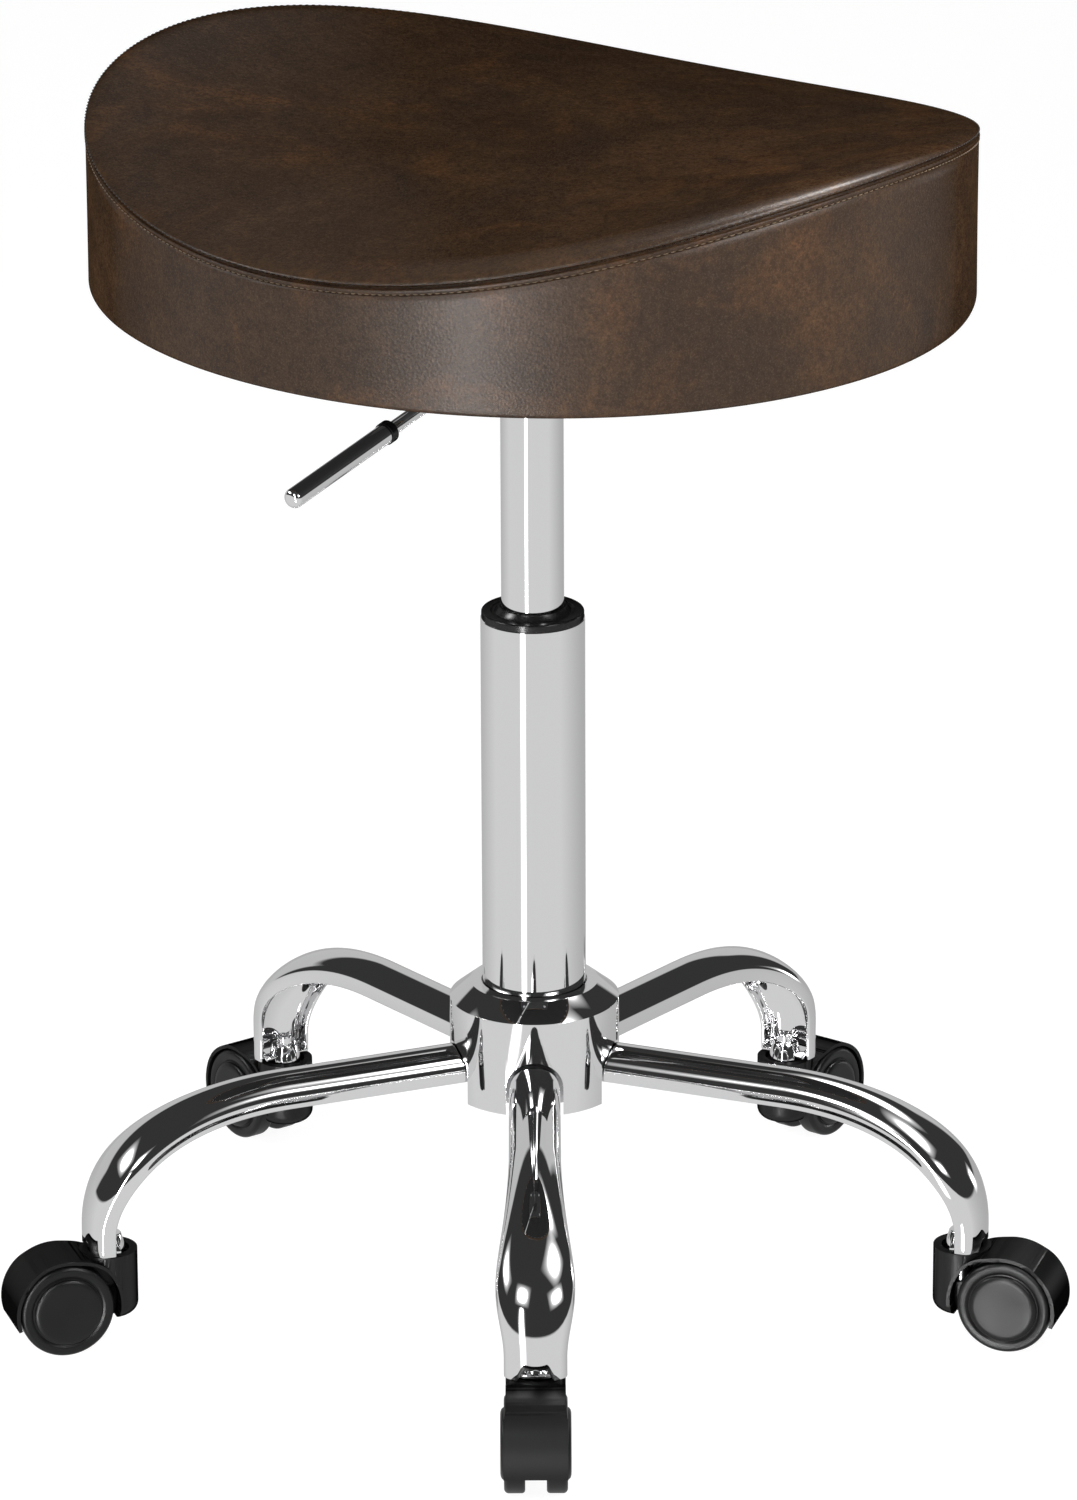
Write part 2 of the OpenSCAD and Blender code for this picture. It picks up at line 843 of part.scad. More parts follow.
// Conical bush in the tip of an arm, with the lug that joins it to the arm's outer wall
module arm_bush(turn) {
    lug_w = 7;
    lug_len = arm_nose - arm_t - 0.4;
    color("#c9cacc")
        rotate([0, 0, turn])
            translate([stem_reach, 0, bush_z])
                difference() {
                    union() {
                        rotate_extrude()
                            polygon([
                                [0, 0],
                                [bush_base_r, 0],
                                [bush_base_r, 1.2],
                                [bush_tip_r, bush_h],
                                [knob_d / 2, bush_h],
                                [knob_d / 2, bush_h + knob_h - 1],
                                [knob_d / 2 - 1, bush_h + knob_h],
                                [0, bush_h + knob_h]
                            ]);
                        translate([0, -lug_w / 2, notch_h + 4])
                            cube([lug_len, lug_w, bush_h - notch_h - 4]);
                        translate([2, -lug_w / 2, 4])
                            cube([4, lug_w, bush_h - 4]);
                    }
                    translate([0, 0, -1])
                        cylinder(d = stem_d + 2 * run_gap, h = bush_h);
                }
}

// Casters, all swung with their wheels outwards

module at_caster(turn) {
    rotate([0, 0, turn])
        translate([stem_reach, 0, 0])
            children();
}

module caster_stems() {
    color("silver")
        for (turn = arm_turn)
            at_caster(turn)
                translate([0, 0, stem_foot])
                    cylinder(d = stem_d, h = bush_z + bush_h - 1.5 - stem_foot);
}

// Web between the wheels: a strut from the housing to the axle, and ribs up to the hood
module web_section() {
    rib_w = 8;
    reach = well_r + hood_t / 2;
    difference() {
        union() {
            translate([-reach, housing_foot - axle_z])
                square([reach, housing_top - housing_foot - 8]);
            circle(d = axle_d + 9);
            translate([-rib_w / 4, 0])
                square([rib_w, reach]);
            rotate(-4)
                translate([0, -rib_w / 2])
                    square([reach, rib_w]);
        }
        translate([-10.5, 11])
            circle(r = 5.5);
    }
}

// The part of the hood's disc that is left open: below the tail and towards the floor
module hood_mouth() {
    far = 2 * hood_r;
    polygon([
        [0, 0],
        far * [cos(tail_angle), sin(tail_angle)],
        [far, -far],
        [-far, -far],
        far * [cos(186), sin(186)]
    ]);
}

// The hood seen from above: as wide as the housing over its top, and wider from the bend down
module hood_plan() {
    r = housing_d / 2;
    w = hood_w / 2;
    polygon([
        [-r, -r], [trail + 12, -r], [trail + 20, -w], [trail + 2 * r, -w],
        [trail + 2 * r, w], [trail + 20, w], [trail + 12, r], [-r, r]
    ]);
}

module hood(turn) {
    edge = 6;
    r = housing_d / 2;
    color("#1b1b1b")
        at_caster(turn)
            difference() {
                union() {
                    rotate_extrude()
                        polygon(concat(
                            [[0, housing_foot]],
                            [for (t = [0:15:90])
                                [r - edge + edge * sin(t), housing_foot + edge - edge * cos(t)]],
                            [[r, housing_top - 0.8], [r - 0.8, housing_top], [0, housing_top]]));
                    intersection() {
                        translate([trail, 0, axle_z])
                            rotate([90, 0, 0])
                                linear_extrude(hood_w, center = true)
                                    difference() {
                                        circle(r = hood_r);
                                        hood_mouth();
                                    }
                        linear_extrude(housing_top + hood_r)
                            hood_plan();
                    }
                    translate([trail, 0, axle_z])
                        rotate([90, 0, 0])
                            linear_extrude(web_w, center = true)
                                web_section();
                }
                translate([trail, 0, axle_z])
                    rotate([90, 0, 0]) {
                        difference() {
                            cylinder(r = well_r, h = 2 * hood_w, center = true);
                            linear_extrude(web_w, center = true)
                                web_section();
                        }
                        cylinder(d = axle_d, h = hood_w, center = true);
                    }
                translate([0, 0, housing_top - recess_h])
                    cylinder(r = recess_r, h = recess_h + 1);
                translate([0, 0, stem_foot - 0.5])
                    cylinder(d = stem_d + 2 * run_gap, h = housing_top);
            }
}

axle_len = 2 * (wheel_in + wheel_w) - 1.6;
module axle(turn) {
    color("silver")
        at_caster(turn)
            translate([trail, 0, axle_z])
                rotate([90, 0, 0])
                    cylinder(d = axle_d, h = axle_len, center = true);
}

// One wheel: side is -1 or 1
module wheel(turn, side) {
    edge = 2.2;
    groove_w = 1.3;
    groove_h = 0.5;
    disc_r = disc_d / 2;
    disc_edge = 3.2;
    out = wheel_in + wheel_w;
    color("#242424")
        at_caster(turn)
            translate([trail, 0, axle_z])
                rotate([side * 90, 0, 0])
                    difference() {
                        rotate_extrude()
                            polygon(concat(
                                [[0, wheel_in], [wheel_r - edge, wheel_in]],
                                [for (t = [-90:30:90])
                                    [wheel_r - edge + edge * cos(t),
                                     (t < 0 ? wheel_in + edge : out - edge) + edge * sin(t)]],
                                [[disc_r + groove_w, out], [disc_r, out - groove_h]],
                                [for (t = [0:22.5:90])
                                    [disc_r - disc_edge + disc_edge * cos(t), out + disc_h * sin(t)]],
                                [[0, out + disc_h - 0.2]]));
                        translate([0, 0, wheel_in - 1])
                            cylinder(d = axle_d + 2 * run_gap, h = axle_len / 2 - wheel_in + 1 + part_gap);
                    }
}

hub_cover();
hub_socket();
arm(arm_turn[0]);  // arm_front
arm(arm_turn[1]);  // arm_right
arm(arm_turn[2]);  // arm_rear_right
arm(arm_turn[3]);  // arm_rear_left
arm(arm_turn[4]);  // arm_left
arm_bush(arm_turn[0]);  // bush_front
arm_bush(arm_turn[1]);  // bush_right
arm_bush(arm_turn[2]);  // bush_rear_right
arm_bush(arm_turn[3]);  // bush_rear_left
arm_bush(arm_turn[4]);  // bush_left
caster_stems();
hood(arm_turn[0]);  // hood_front
hood(arm_turn[1]);  // hood_right
hood(arm_turn[2]);  // hood_rear_right
hood(arm_turn[3]);  // hood_rear_left
hood(arm_turn[4]);  // hood_left
axle(arm_turn[0]);  // axle_front
axle(arm_turn[1]);  // axle_right
axle(arm_turn[2]);  // axle_rear_right
axle(arm_turn[3]);  // axle_rear_left
axle(arm_turn[4]);  // axle_left
wheel(arm_turn[0], 1);  // wheel_front_a
wheel(arm_turn[1], 1);  // wheel_right_a
wheel(arm_turn[2], 1);  // wheel_rear_right_a
wheel(arm_turn[3], 1);  // wheel_rear_left_a
wheel(arm_turn[4], 1);  // wheel_left_a
wheel(arm_turn[0], -1);  // wheel_front_b
wheel(arm_turn[1], -1);  // wheel_right_b
wheel(arm_turn[2], -1);  // wheel_rear_right_b
wheel(arm_turn[3], -1);  // wheel_rear_left_b
wheel(arm_turn[4], -1);  // wheel_left_b
column_tube();
column_washer();
guide_bush();
thrust_bearing();
piston_rod();
piston();
rod_clip();
rubber_buffer();
pressure_tube();
tube_gland();
valve_button();
seat_plate();
plate_screws();
tee_nuts();
lever_pin();
lever_rod();
lever_grip();
grip_ferrule();
seat_board();
seat_foam();
top_panel();
side_band();
welt();
dust_cloth();
staples();
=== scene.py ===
import math

import bmesh
import bpy
from mathutils import Matrix, Vector


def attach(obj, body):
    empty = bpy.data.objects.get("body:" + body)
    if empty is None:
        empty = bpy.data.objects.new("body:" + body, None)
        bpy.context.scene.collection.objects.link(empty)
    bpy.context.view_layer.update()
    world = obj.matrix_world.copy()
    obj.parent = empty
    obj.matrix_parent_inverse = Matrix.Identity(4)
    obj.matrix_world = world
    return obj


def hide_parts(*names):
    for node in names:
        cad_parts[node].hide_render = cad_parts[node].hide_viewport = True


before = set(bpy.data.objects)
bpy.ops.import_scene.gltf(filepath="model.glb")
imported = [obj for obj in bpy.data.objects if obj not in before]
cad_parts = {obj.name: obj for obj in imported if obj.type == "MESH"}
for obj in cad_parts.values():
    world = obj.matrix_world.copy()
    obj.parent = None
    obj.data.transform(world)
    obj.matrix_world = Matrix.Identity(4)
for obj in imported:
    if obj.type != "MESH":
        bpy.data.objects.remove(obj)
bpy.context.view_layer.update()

# Hub socket, stems and other bare steel
# The socket is a turned steel sleeve inside the hub, and the five stems are turned pins.
# They are zinc plated: a pale metal with faint turning marks and a slightly cloudy gloss.


def new_material(name, colour, roughness, metallic=0.0):
    """A material with a principled shader, given back with its node tree and shader."""
    material = bpy.data.materials.new(name)
    material.use_nodes = True
    tree = material.node_tree
    shader = tree.nodes["Principled BSDF"]
    shader.inputs["Base Color"].default_value = (*colour, 1)
    shader.inputs["Roughness"].default_value = roughness
    shader.inputs["Metallic"].default_value = metallic
    return material, tree, shader


def add_node(tree, kind, **settings):
    """A node with its settings. A setting named after a socket fills that socket or is linked to it."""
    node = tree.nodes.new(kind)
    for name, value in settings.items():
        socket = node.inputs.get(name.replace("_", " ").title())
        if socket is None:
            setattr(node, name, value)
        elif isinstance(value, bpy.types.NodeSocket):
            tree.links.new(value, socket)
        else:
            socket.default_value = value
    return node


def part_point(tree, stretch=(1, 1, 1)):
    """The point in the part's own frame, in metres, stretched along its axes."""
    place = add_node(tree, "ShaderNodeTexCoord")
    mapping = add_node(tree, "ShaderNodeMapping", Vector=place.outputs["Object"], Scale=stretch)
    return mapping.outputs["Vector"]


def noise(tree, scale, detail=3.0, stretch=(1, 1, 1), distortion=0.0):
    """A noise of that scale per metre, from 0 to 1."""
    node = add_node(tree, "ShaderNodeTexNoise", Vector=part_point(tree, stretch),
                    Scale=scale, Detail=detail, Distortion=distortion)
    return node.outputs["Fac"]


def spread(tree, value, low, high, to_low, to_high):
    """Maps a value from one range to another, held at the ends."""
    node = add_node(tree, "ShaderNodeMapRange")
    tree.links.new(value, node.inputs["Value"])
    for name, number in (("From Min", low), ("From Max", high), ("To Min", to_low), ("To Max", to_high)):
        node.inputs[name].default_value = number
    return node.outputs["Result"]


def relief(tree, shader, height, depth, strength=1.0, under=None):
    """Lets a height from 0 to 1 stand up by depth metres in the shading."""
    node = add_node(tree, "ShaderNodeBump")
    node.inputs["Strength"].default_value = strength
    node.inputs["Distance"].default_value = depth
    tree.links.new(height, node.inputs["Height"])
    if under is not None:
        tree.links.new(under, node.inputs["Normal"])
    tree.links.new(node.outputs["Normal"], shader.inputs["Normal"])
    return node.outputs["Normal"]


def blend_colours(tree, factor, first, second):
    """Mixes two colours, each a tuple or a socket, by a factor."""
    node = add_node(tree, "ShaderNodeMix", data_type="RGBA")
    tree.links.new(factor, node.inputs["Factor"])
    for socket, colour in ((node.inputs[6], first), (node.inputs[7], second)):
        if isinstance(colour, bpy.types.NodeSocket):
            tree.links.new(colour, socket)
        else:
            socket.default_value = (*colour, 1)
    return node.outputs[2]


def dress(material, *nodes):
    """Gives a material to CAD pieces that keep their own shape."""
    for name in nodes:
        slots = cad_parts[name].data.materials
        slots.clear()
        slots.append(material)


def zinc_steel():
    material, tree, shader = new_material("zinc_steel", (0.60, 0.60, 0.61), 0.3, 1.0)
    cloud = noise(tree, 90, 4)
    turned = noise(tree, 500, 2, stretch=(0.1, 0.1, 4))
    tree.links.new(spread(tree, cloud, 0.3, 0.7, 0.22, 0.4), shader.inputs["Roughness"])
    tree.links.new(blend_colours(tree, cloud, (0.55, 0.55, 0.55), (0.68, 0.68, 0.70)),
                   shader.inputs["Base Color"])
    relief(tree, shader, turned, 0.00003, 0.4)
    return material


ARMS = {"front": -90, "right": -18, "rear_right": 54, "rear_left": 126, "left": 198}
steel = zinc_steel()
dress(steel, "hub_socket", "caster_stems", "column_washer", "thrust_bearing", "piston_rod", "rod_clip",
      "plate_screws", "tee_nuts", "lever_pin", "valve_button", "staples", *("axle_" + arm for arm in ARMS))

# Pressed arms
# Each arm is a channel pressed from 2 mm sheet, domed on top and open below, welded to the socket.
# It swells where it bends down, ends in a straight tip with a notch, and is mirror chromed.
MM = 0.001
ARM_ROOT = Vector((29.1, 130.5))
ARM_FALL = 0.028
ARM_BEND = Vector((126, 130.5 - ARM_FALL * (126 - 29.1)))
ARM_END = Vector((228, 58))
ARM_FOOT = 48.5
ARM_LEAD, ARM_TAIL = 62, 41
ARM_WIDTHS = (24.6, 36.8, 29.6)
ARM_DEPTHS = (15.6, 12.4)
ARM_SHEET = 2.0
NOTCH_W, NOTCH_TOP_W, NOTCH_H = 17, 11, 6


def chrome_plate():
    """Mirror chrome whose surface rolls very slightly, as polished pressings do."""
    material, tree, shader = new_material("chrome_plate", (0.87, 0.87, 0.875), 0.04, 1.0)
    haze = noise(tree, 35, 3)
    tree.links.new(spread(tree, haze, 0.35, 0.75, 0.02, 0.05), shader.inputs["Roughness"])
    relief(tree, shader, noise(tree, 28, 1.5), 0.0003, 0.05)
    return material


def add_piece(name, points, faces, material, sharp=35):
    """A mesh piece from points in millimetres, smooth except where faces meet at a sharp angle."""
    mesh = bpy.data.meshes.new(name)
    mesh.from_pydata([tuple(MM * c for c in p) for p in points], [], faces)
    work = bmesh.new()
    work.from_mesh(mesh)
    bmesh.ops.recalc_face_normals(work, faces=work.faces)
    work.to_mesh(mesh)
    work.free()
    smooth(mesh, sharp)
    mesh.materials.append(material)
    piece = bpy.data.objects.new(name, mesh)
    bpy.context.scene.collection.objects.link(piece)
    return piece


def smooth(mesh, sharp):
    mesh.polygons.foreach_set("use_smooth", [True] * len(mesh.polygons))
    mesh.set_sharp_from_angle(angle=math.radians(sharp))


def loft(rows, closed_rows=False, caps=True):
    """Points and faces of rings of equal length joined in a row, with flat caps or closed on itself."""
    count = len(rows[0])
    points = [p for row in rows for p in row]
    faces = []
    last = len(rows) if closed_rows else len(rows) - 1
    for j in range(last):
        low, high = j * count, (j + 1) % len(rows) * count
        faces += [(low + i, low + (i + 1) % count, high + (i + 1) % count, high + i) for i in range(count)]
    if caps and not closed_rows:
        faces += [tuple(range(count)), tuple(range(len(points) - count, len(points)))]
    return points, faces


def arc(centre_x, centre_y, radius, start, end, steps):
    """Points of an arc in a plane, in degrees."""
    return [(centre_x + radius * math.cos(math.radians(start + (end - start) * i / steps)),
             centre_y + radius * math.sin(math.radians(start + (end - start) * i / steps)))
            for i in range(steps + 1)]


def apply_modifiers(piece, sharp=35):
    """Turns a piece's modifiers into plain mesh."""
    mesh = bpy.data.meshes.new_from_object(piece.evaluated_get(bpy.context.evaluated_depsgraph_get()))
    old = piece.data
    piece.modifiers.clear()
    piece.data = mesh
    bpy.data.meshes.remove(old)
    smooth(piece.data, sharp)


def cut(piece, cutter, operation="DIFFERENCE"):
    """Cuts a piece by another, or joins them, and removes the other."""
    change = piece.modifiers.new("cut", "BOOLEAN")
    change.operation = operation
    change.solver = "EXACT"
    change.object = cutter
    bpy.context.view_layer.update()
    apply_modifiers(piece)
    mesh = cutter.data
    bpy.data.objects.remove(cutter)
    bpy.data.meshes.remove(mesh)


def ease_edges(piece, width, angle=40, steps=2):
    """Rounds a piece's sharp edges by a width in millimetres."""
    change = piece.modifiers.new("ease", "BEVEL")
    change.width = width * MM
    change.segments = steps
    change.limit_method = "ANGLE"
    change.angle_limit = math.radians(angle)
    change.harden_normals = False
    bpy.context.view_layer.update()
    apply_modifiers(piece)


def prism(name, outline, low, high, material, place=Matrix()):
    """A straight block with an outline in its XY plane, from low to high, then put in place."""
    points, faces = loft([[(x, y, low) for x, y in outline], [(x, y, high) for x, y in outline]])
    piece = add_piece(name, points, faces, material)
    piece.data.transform(metric(place))
    return piece


def metric(place):
    """The same placement with its shift in metres."""
    moved = place.copy()
    moved.translation = place.translation * MM
    return moved


def turned_to(degrees, place=Matrix()):
    return Matrix.Rotation(math.radians(degrees), 4, "Z") @ place


def arm_crest(steps_straight=8, steps_bend=44, steps_foot=3):
    """Stations along the top of an arm: place and direction in the plane through the column."""
    stations = []
    level = Vector((1, -ARM_FALL)).normalized()
    for i in range(steps_straight):
        stations.append((ARM_ROOT.lerp(ARM_BEND, i / steps_straight), level))
    lead = ARM_BEND + ARM_LEAD * Vector((1, -ARM_FALL))
    tail = ARM_END + Vector((0, ARM_TAIL))
    for i in range(steps_bend):
        t = i / steps_bend
        place = ((1 - t) ** 3 * ARM_BEND + 3 * t * (1 - t) ** 2 * lead + 3 * t * t * (1 - t) * tail
                 + t ** 3 * ARM_END)
        way = (1 - t) ** 2 * (lead - ARM_BEND) + 2 * t * (1 - t) * (tail - lead) + t * t * (ARM_END - tail)
        stations.append((place, way.normalized()))
    foot = Vector((ARM_END.x, ARM_FOOT))
    for i in range(steps_foot + 1):
        stations.append((ARM_END.lerp(foot, i / steps_foot), Vector((0, -1))))
    return stations


def arm_ring(place, way, dome_steps=22):
    """The closed outline of the channel at a station: outer dome, lip, inner dome, lip."""
    k = max(0.0, min(1.0, math.degrees(math.atan2(-way.y, way.x)) / 90))
    swell = max(0.0, math.sin(math.pi * k ** 1.15)) ** 1.6
    root_w, bend_w, tip_w = ARM_WIDTHS
    half = (root_w * (1 - k) + tip_w * k + (bend_w - (root_w + tip_w) / 2) * swell) / 2
    depth = ARM_DEPTHS[0] * (1 - k) + ARM_DEPTHS[1] * k
    crown = depth * (0.74 - 0.14 * k)
    lip = ARM_SHEET / 2

    def dome(inset):
        rise = crown - inset
        return [((half - inset) * math.sin(math.radians(a)), crown - rise * math.cos(math.radians(a)))
                for a in (-90 + 180 * i / dome_steps for i in range(dome_steps + 1))]

    outline = [(-half, depth - lip)] + dome(0) + [(half, depth - lip)]
    outline += arc(half - lip, depth - lip, lip, 0, 180, 6)[1:-1]
    outline += [(half - ARM_SHEET, depth - lip)] + dome(ARM_SHEET)[::-1] + [(-half + ARM_SHEET, depth - lip)]
    outline += arc(-half + lip, depth - lip, lip, 0, 180, 6)[1:-1]
    down = Vector((way.y, -way.x))
    return [(place.x + down.x * v, u, place.y + down.y * v) for u, v in outline]


chrome = chrome_plate()
first_arm = None
for arm, turn in ARMS.items():
    if first_arm is None:
        points, faces = loft([arm_ring(*station) for station in arm_crest()])
        piece = add_piece("pressed_arm_" + arm, points, faces, chrome, 50)
        notch = [(-NOTCH_W / 2, -2), (NOTCH_W / 2, -2), (NOTCH_W / 2, 0), (NOTCH_TOP_W / 2, NOTCH_H - 0.8),
                 (0, NOTCH_H), (-NOTCH_TOP_W / 2, NOTCH_H - 0.8), (-NOTCH_W / 2, 0)]
        face_on = Matrix.Translation((ARM_END.x, 0, ARM_FOOT)) @ Matrix(
            ((0, 0, 1, 0), (1, 0, 0, 0), (0, 1, 0, 0), (0, 0, 0, 1)))
        cut(piece, prism("notch", notch, -4, 3, chrome, face_on))
        ease_edges(piece, 0.35, 55)
        smooth(piece.data, 40)
        first_arm = piece.data.copy()
        piece.data.transform(turned_to(turn))
    else:
        mesh = first_arm.copy()
        mesh.transform(turned_to(turn))
        piece = bpy.data.objects.new("pressed_arm_" + arm, mesh)
        bpy.context.scene.collection.objects.link(piece)
    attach(piece, "base")
    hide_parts("arm_" + arm)

# Hub cover
# A thick pressed shell drops over the socket: a straight wall with five arched doors for the arms,
# a cone above it and a flat rim round the column. It is chromed like the arms.
HUB_Z, HUB_R, HUB_WALL_H, HUB_CONE_H, HUB_TOP_R, HUB_SHEET = 104, 41, 47.5, 8, 31, 2.5
ARCH_W, ARCH_H = 27.7, 27.5
COLUMN_R = 25.0


def lathe(name, profile, material, steps=128, closed=True, sharp=35):
    """A turned piece: a profile of radius and height in millimetres, spun about the Z axis."""
    points, faces, rings = [], [], []
    for radius, height in profile:
        if radius < 1e-6:
            rings.append([len(points)] * steps)
            points.append((0, 0, height))
            continue
        rings.append(list(range(len(points), len(points) + steps)))
        points += [(radius * math.cos(2 * math.pi * i / steps), radius * math.sin(2 * math.pi * i / steps),
                    height) for i in range(steps)]
    pairs = list(zip(rings, rings[1:])) + ([(rings[-1], rings[0])] if closed else [])
    for low, high in pairs:
        for i in range(steps):
            corners = []
            for corner in (low[i], low[(i + 1) % steps], high[(i + 1) % steps], high[i]):
                if corner not in corners:
                    corners.append(corner)
            if len(corners) > 2:
                faces.append(tuple(corners))
    return add_piece(name, points, faces, material, sharp)


def arch_outline(width, height, steps=24):
    """A door with a round head, standing on the X axis."""
    return [(width / 2, -1)] + arc(0, height - width / 2, width / 2, 0, 180, steps) + [(-width / 2, -1)]


hub_rim = HUB_Z + HUB_WALL_H
hub_top = hub_rim + HUB_CONE_H
cover = lathe("hub_shell", [
    (HUB_R, HUB_Z), (HUB_R, hub_rim), (HUB_TOP_R, hub_top), (COLUMN_R + 0.6, hub_top),
    (COLUMN_R + 0.6, hub_top - HUB_SHEET), (HUB_TOP_R - 1, hub_top - HUB_SHEET),
    (HUB_R - HUB_SHEET, hub_rim - 1.5), (HUB_R - HUB_SHEET, HUB_Z)], chrome, 200, sharp=20)
for turn in ARMS.values():
    door = turned_to(turn, Matrix(((0, 0, 1, 0), (1, 0, 0, 0), (0, 1, 0, HUB_Z), (0, 0, 0, 1))))
    cut(cover, prism("door", arch_outline(ARCH_W, ARCH_H), 30, 60, chrome, door))
ease_edges(cover, 0.55, 30, 3)
smooth(cover.data, 20)
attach(cover, "base")
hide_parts("hub_cover")

# Caster bushes
# A turned cone is welded in each arm's tip on a small cross plate, and takes the caster's stem.
# Its knob is the peened end. All of it is chromed with the arm.
STEM_REACH = 216
BUSH_Z, BUSH_H, BUSH_BASE_R, BUSH_TIP_R = 45.1, 10.5, 8.75, 6
KNOB_R, KNOB_H = 3.75, 4.5
BUSH_BORE = 3.55
PLATE_Z, PLATE_SHEET, PLATE_HALF = 4.2, 1.2, 12.5

for arm, turn in ARMS.items():
    profile = [(BUSH_BORE, 0), (BUSH_BASE_R, 0), (BUSH_BASE_R, 1.4), (BUSH_TIP_R + 0.4, BUSH_H - 0.6),
               (BUSH_TIP_R, BUSH_H), (KNOB_R + 0.6, BUSH_H), (KNOB_R, BUSH_H + 0.5)]
    profile += arc(KNOB_R - 1.1, BUSH_H + KNOB_H - 1.1, 1.1, 0, 80, 5)
    profile += [(1.6, BUSH_H + KNOB_H - 0.35), (0, BUSH_H + KNOB_H - 0.45), (0, BUSH_H - 1),
                (BUSH_BORE, BUSH_H - 1)]
    bush = lathe("caster_bush_" + arm, profile, chrome, 64, sharp=28)
    outline = [(-3, -PLATE_HALF), (6, -PLATE_HALF), (9.6, -6), (9.6, 6), (6, PLATE_HALF), (-3, PLATE_HALF)]
    cut(bush, prism("cross_plate", outline, PLATE_Z, PLATE_Z + PLATE_SHEET, chrome), "UNION")
    ease_edges(bush, 0.2, 40)
    bush.data.transform(metric(turned_to(turn, Matrix.Translation((STEM_REACH, 0, BUSH_Z)))))
    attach(bush, "base")
    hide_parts("bush_" + arm)

# Caster hoods
# Each hood is one nylon moulding: the swivel housing, the web that holds the axle, and a cover
# that runs over the wheels and ends above their outer side. Its skin is finely textured and satin.
WHEEL_R, TRAIL = 23.0, 24.3
HOOD_R = 25.6
HOOD_W = 30.0
WEB_W = 9.4
HOUSING_R, HOUSING_FOOT, HOUSING_TOP = 14.0, 14.8, 47.8
HOUSING_ROUND = 5.5
TAIL_ANGLE = -17
BULGE_FROM, BULGE_SPAN = 98, 42
COVER_BULGE, WELL_BULGE = 2.6, 2.8
WHEEL_GAP, NAPE_GAP = 0.8, 3.6
RECESS_R, RECESS_H = 10, 3


def facing_gloss(tree, shader, weight, roughness):
    """Gloss seen straight on that dies away at flat angles, as on a waxed or eroded surface."""
    shader.inputs["Specular IOR Level"].default_value = 0
    facing = add_node(tree, "ShaderNodeLayerWeight", Blend=0.5).outputs["Facing"]
    tree.links.new(spread(tree, facing, 0.4, 0.7, weight, 0), shader.inputs["Coat Weight"])
    shader.inputs["Coat Roughness"].default_value = roughness


def moulded_black(name, shade, roughness, grain):
    """Black moulded plastic: faint clouds of painted sheen, lighter in the base colour, and a fine eroded
    texture.
    """
    material, tree, shader = new_material(name, (shade, shade, shade), roughness)
    facing_gloss(tree, shader, 0.65, roughness)
    cloud = noise(tree, 45, 3)
    # Painted sheen: the base colour is a little lighter in faint clouds, which stand in for patchy gloss.
    sheen_tint = blend_colours(tree, cloud, (shade * 0.85,) * 3, (shade * 1.2, shade * 1.17, shade * 1.17))
    tree.links.new(sheen_tint, shader.inputs["Base Color"])
    relief(tree, shader, noise(tree, 2400, 2), grain, 0.5)
    return material


hood_black = moulded_black("hood_nylon", 0.003, 0.40, 0.00002)


def swollen(radius, swell, degrees):
    """A radius about the axle that grows by swell on the housing's side, below the arm's foot."""
    t = max(0.0, min(1.0, (degrees - BULGE_FROM) / BULGE_SPAN))
    return radius + swell * t * t * (3 - 2 * t)


def polar(radius, degrees):
    return radius * math.cos(math.radians(degrees)), radius * math.sin(math.radians(degrees))


def hood_cover():
    """The outline of the cover over the wheels, about the axle, seen from the side."""
    rim = [polar(swollen(HOOD_R, COVER_BULGE, a), a) for a in range(TAIL_ANGLE, 187)]
    return rim + arc(0, 0, 4, 186, TAIL_ANGLE + 360, 8)


def hood_well():
    """The outline of the wheels' well: close to them at the tail, wider at the housing."""
    close, wide = WHEEL_R + WHEEL_GAP, WHEEL_R + NAPE_GAP
    outline = [polar(swollen(close, WELL_BULGE, a), a) for a in range(0, 240, 2)]
    outline += [polar(wide, a) for a in range(240, 270, 3)]
    return outline + [polar(close, a) for a in range(270, 360, 3)]


def hood_plan():
    """The outline of the cover from above: as wide as the housing, then wider from its bend down."""
    wide, narrow = HOOD_W / 2, HOUSING_R
    side = [(-narrow, -narrow), (TRAIL + 11, -narrow), (TRAIL + 13, -narrow - 0.1),
            (TRAIL + 17, -wide + 0.15), (TRAIL + 19, -wide), (TRAIL + 40, -wide)]
    return side + [(x, -y) for x, y in side[::-1]]


def hood_web():
    """The outline of the web between the wheels, about the axle: a strut to the housing and two ribs."""
    reach = WHEEL_R + 1.9
    low = HOUSING_FOOT - WHEEL_R
    return [(-reach - 3, low), (-4, low), (5.5, -7), (reach, -5.5), (reach, 2.5), (6, 4.5),
            (6, reach - 1), (-2, reach), (-6, reach), (-9, 13), (-15, 7.5), (-reach - 3, 6.5)]


def axle_frame():
    """Placement of a caster's side view: X towards the tail, Y up, with the axle at the origin."""
    return Matrix.Translation((TRAIL, 0, WHEEL_R)) @ Matrix.Rotation(math.radians(90), 4, "X")


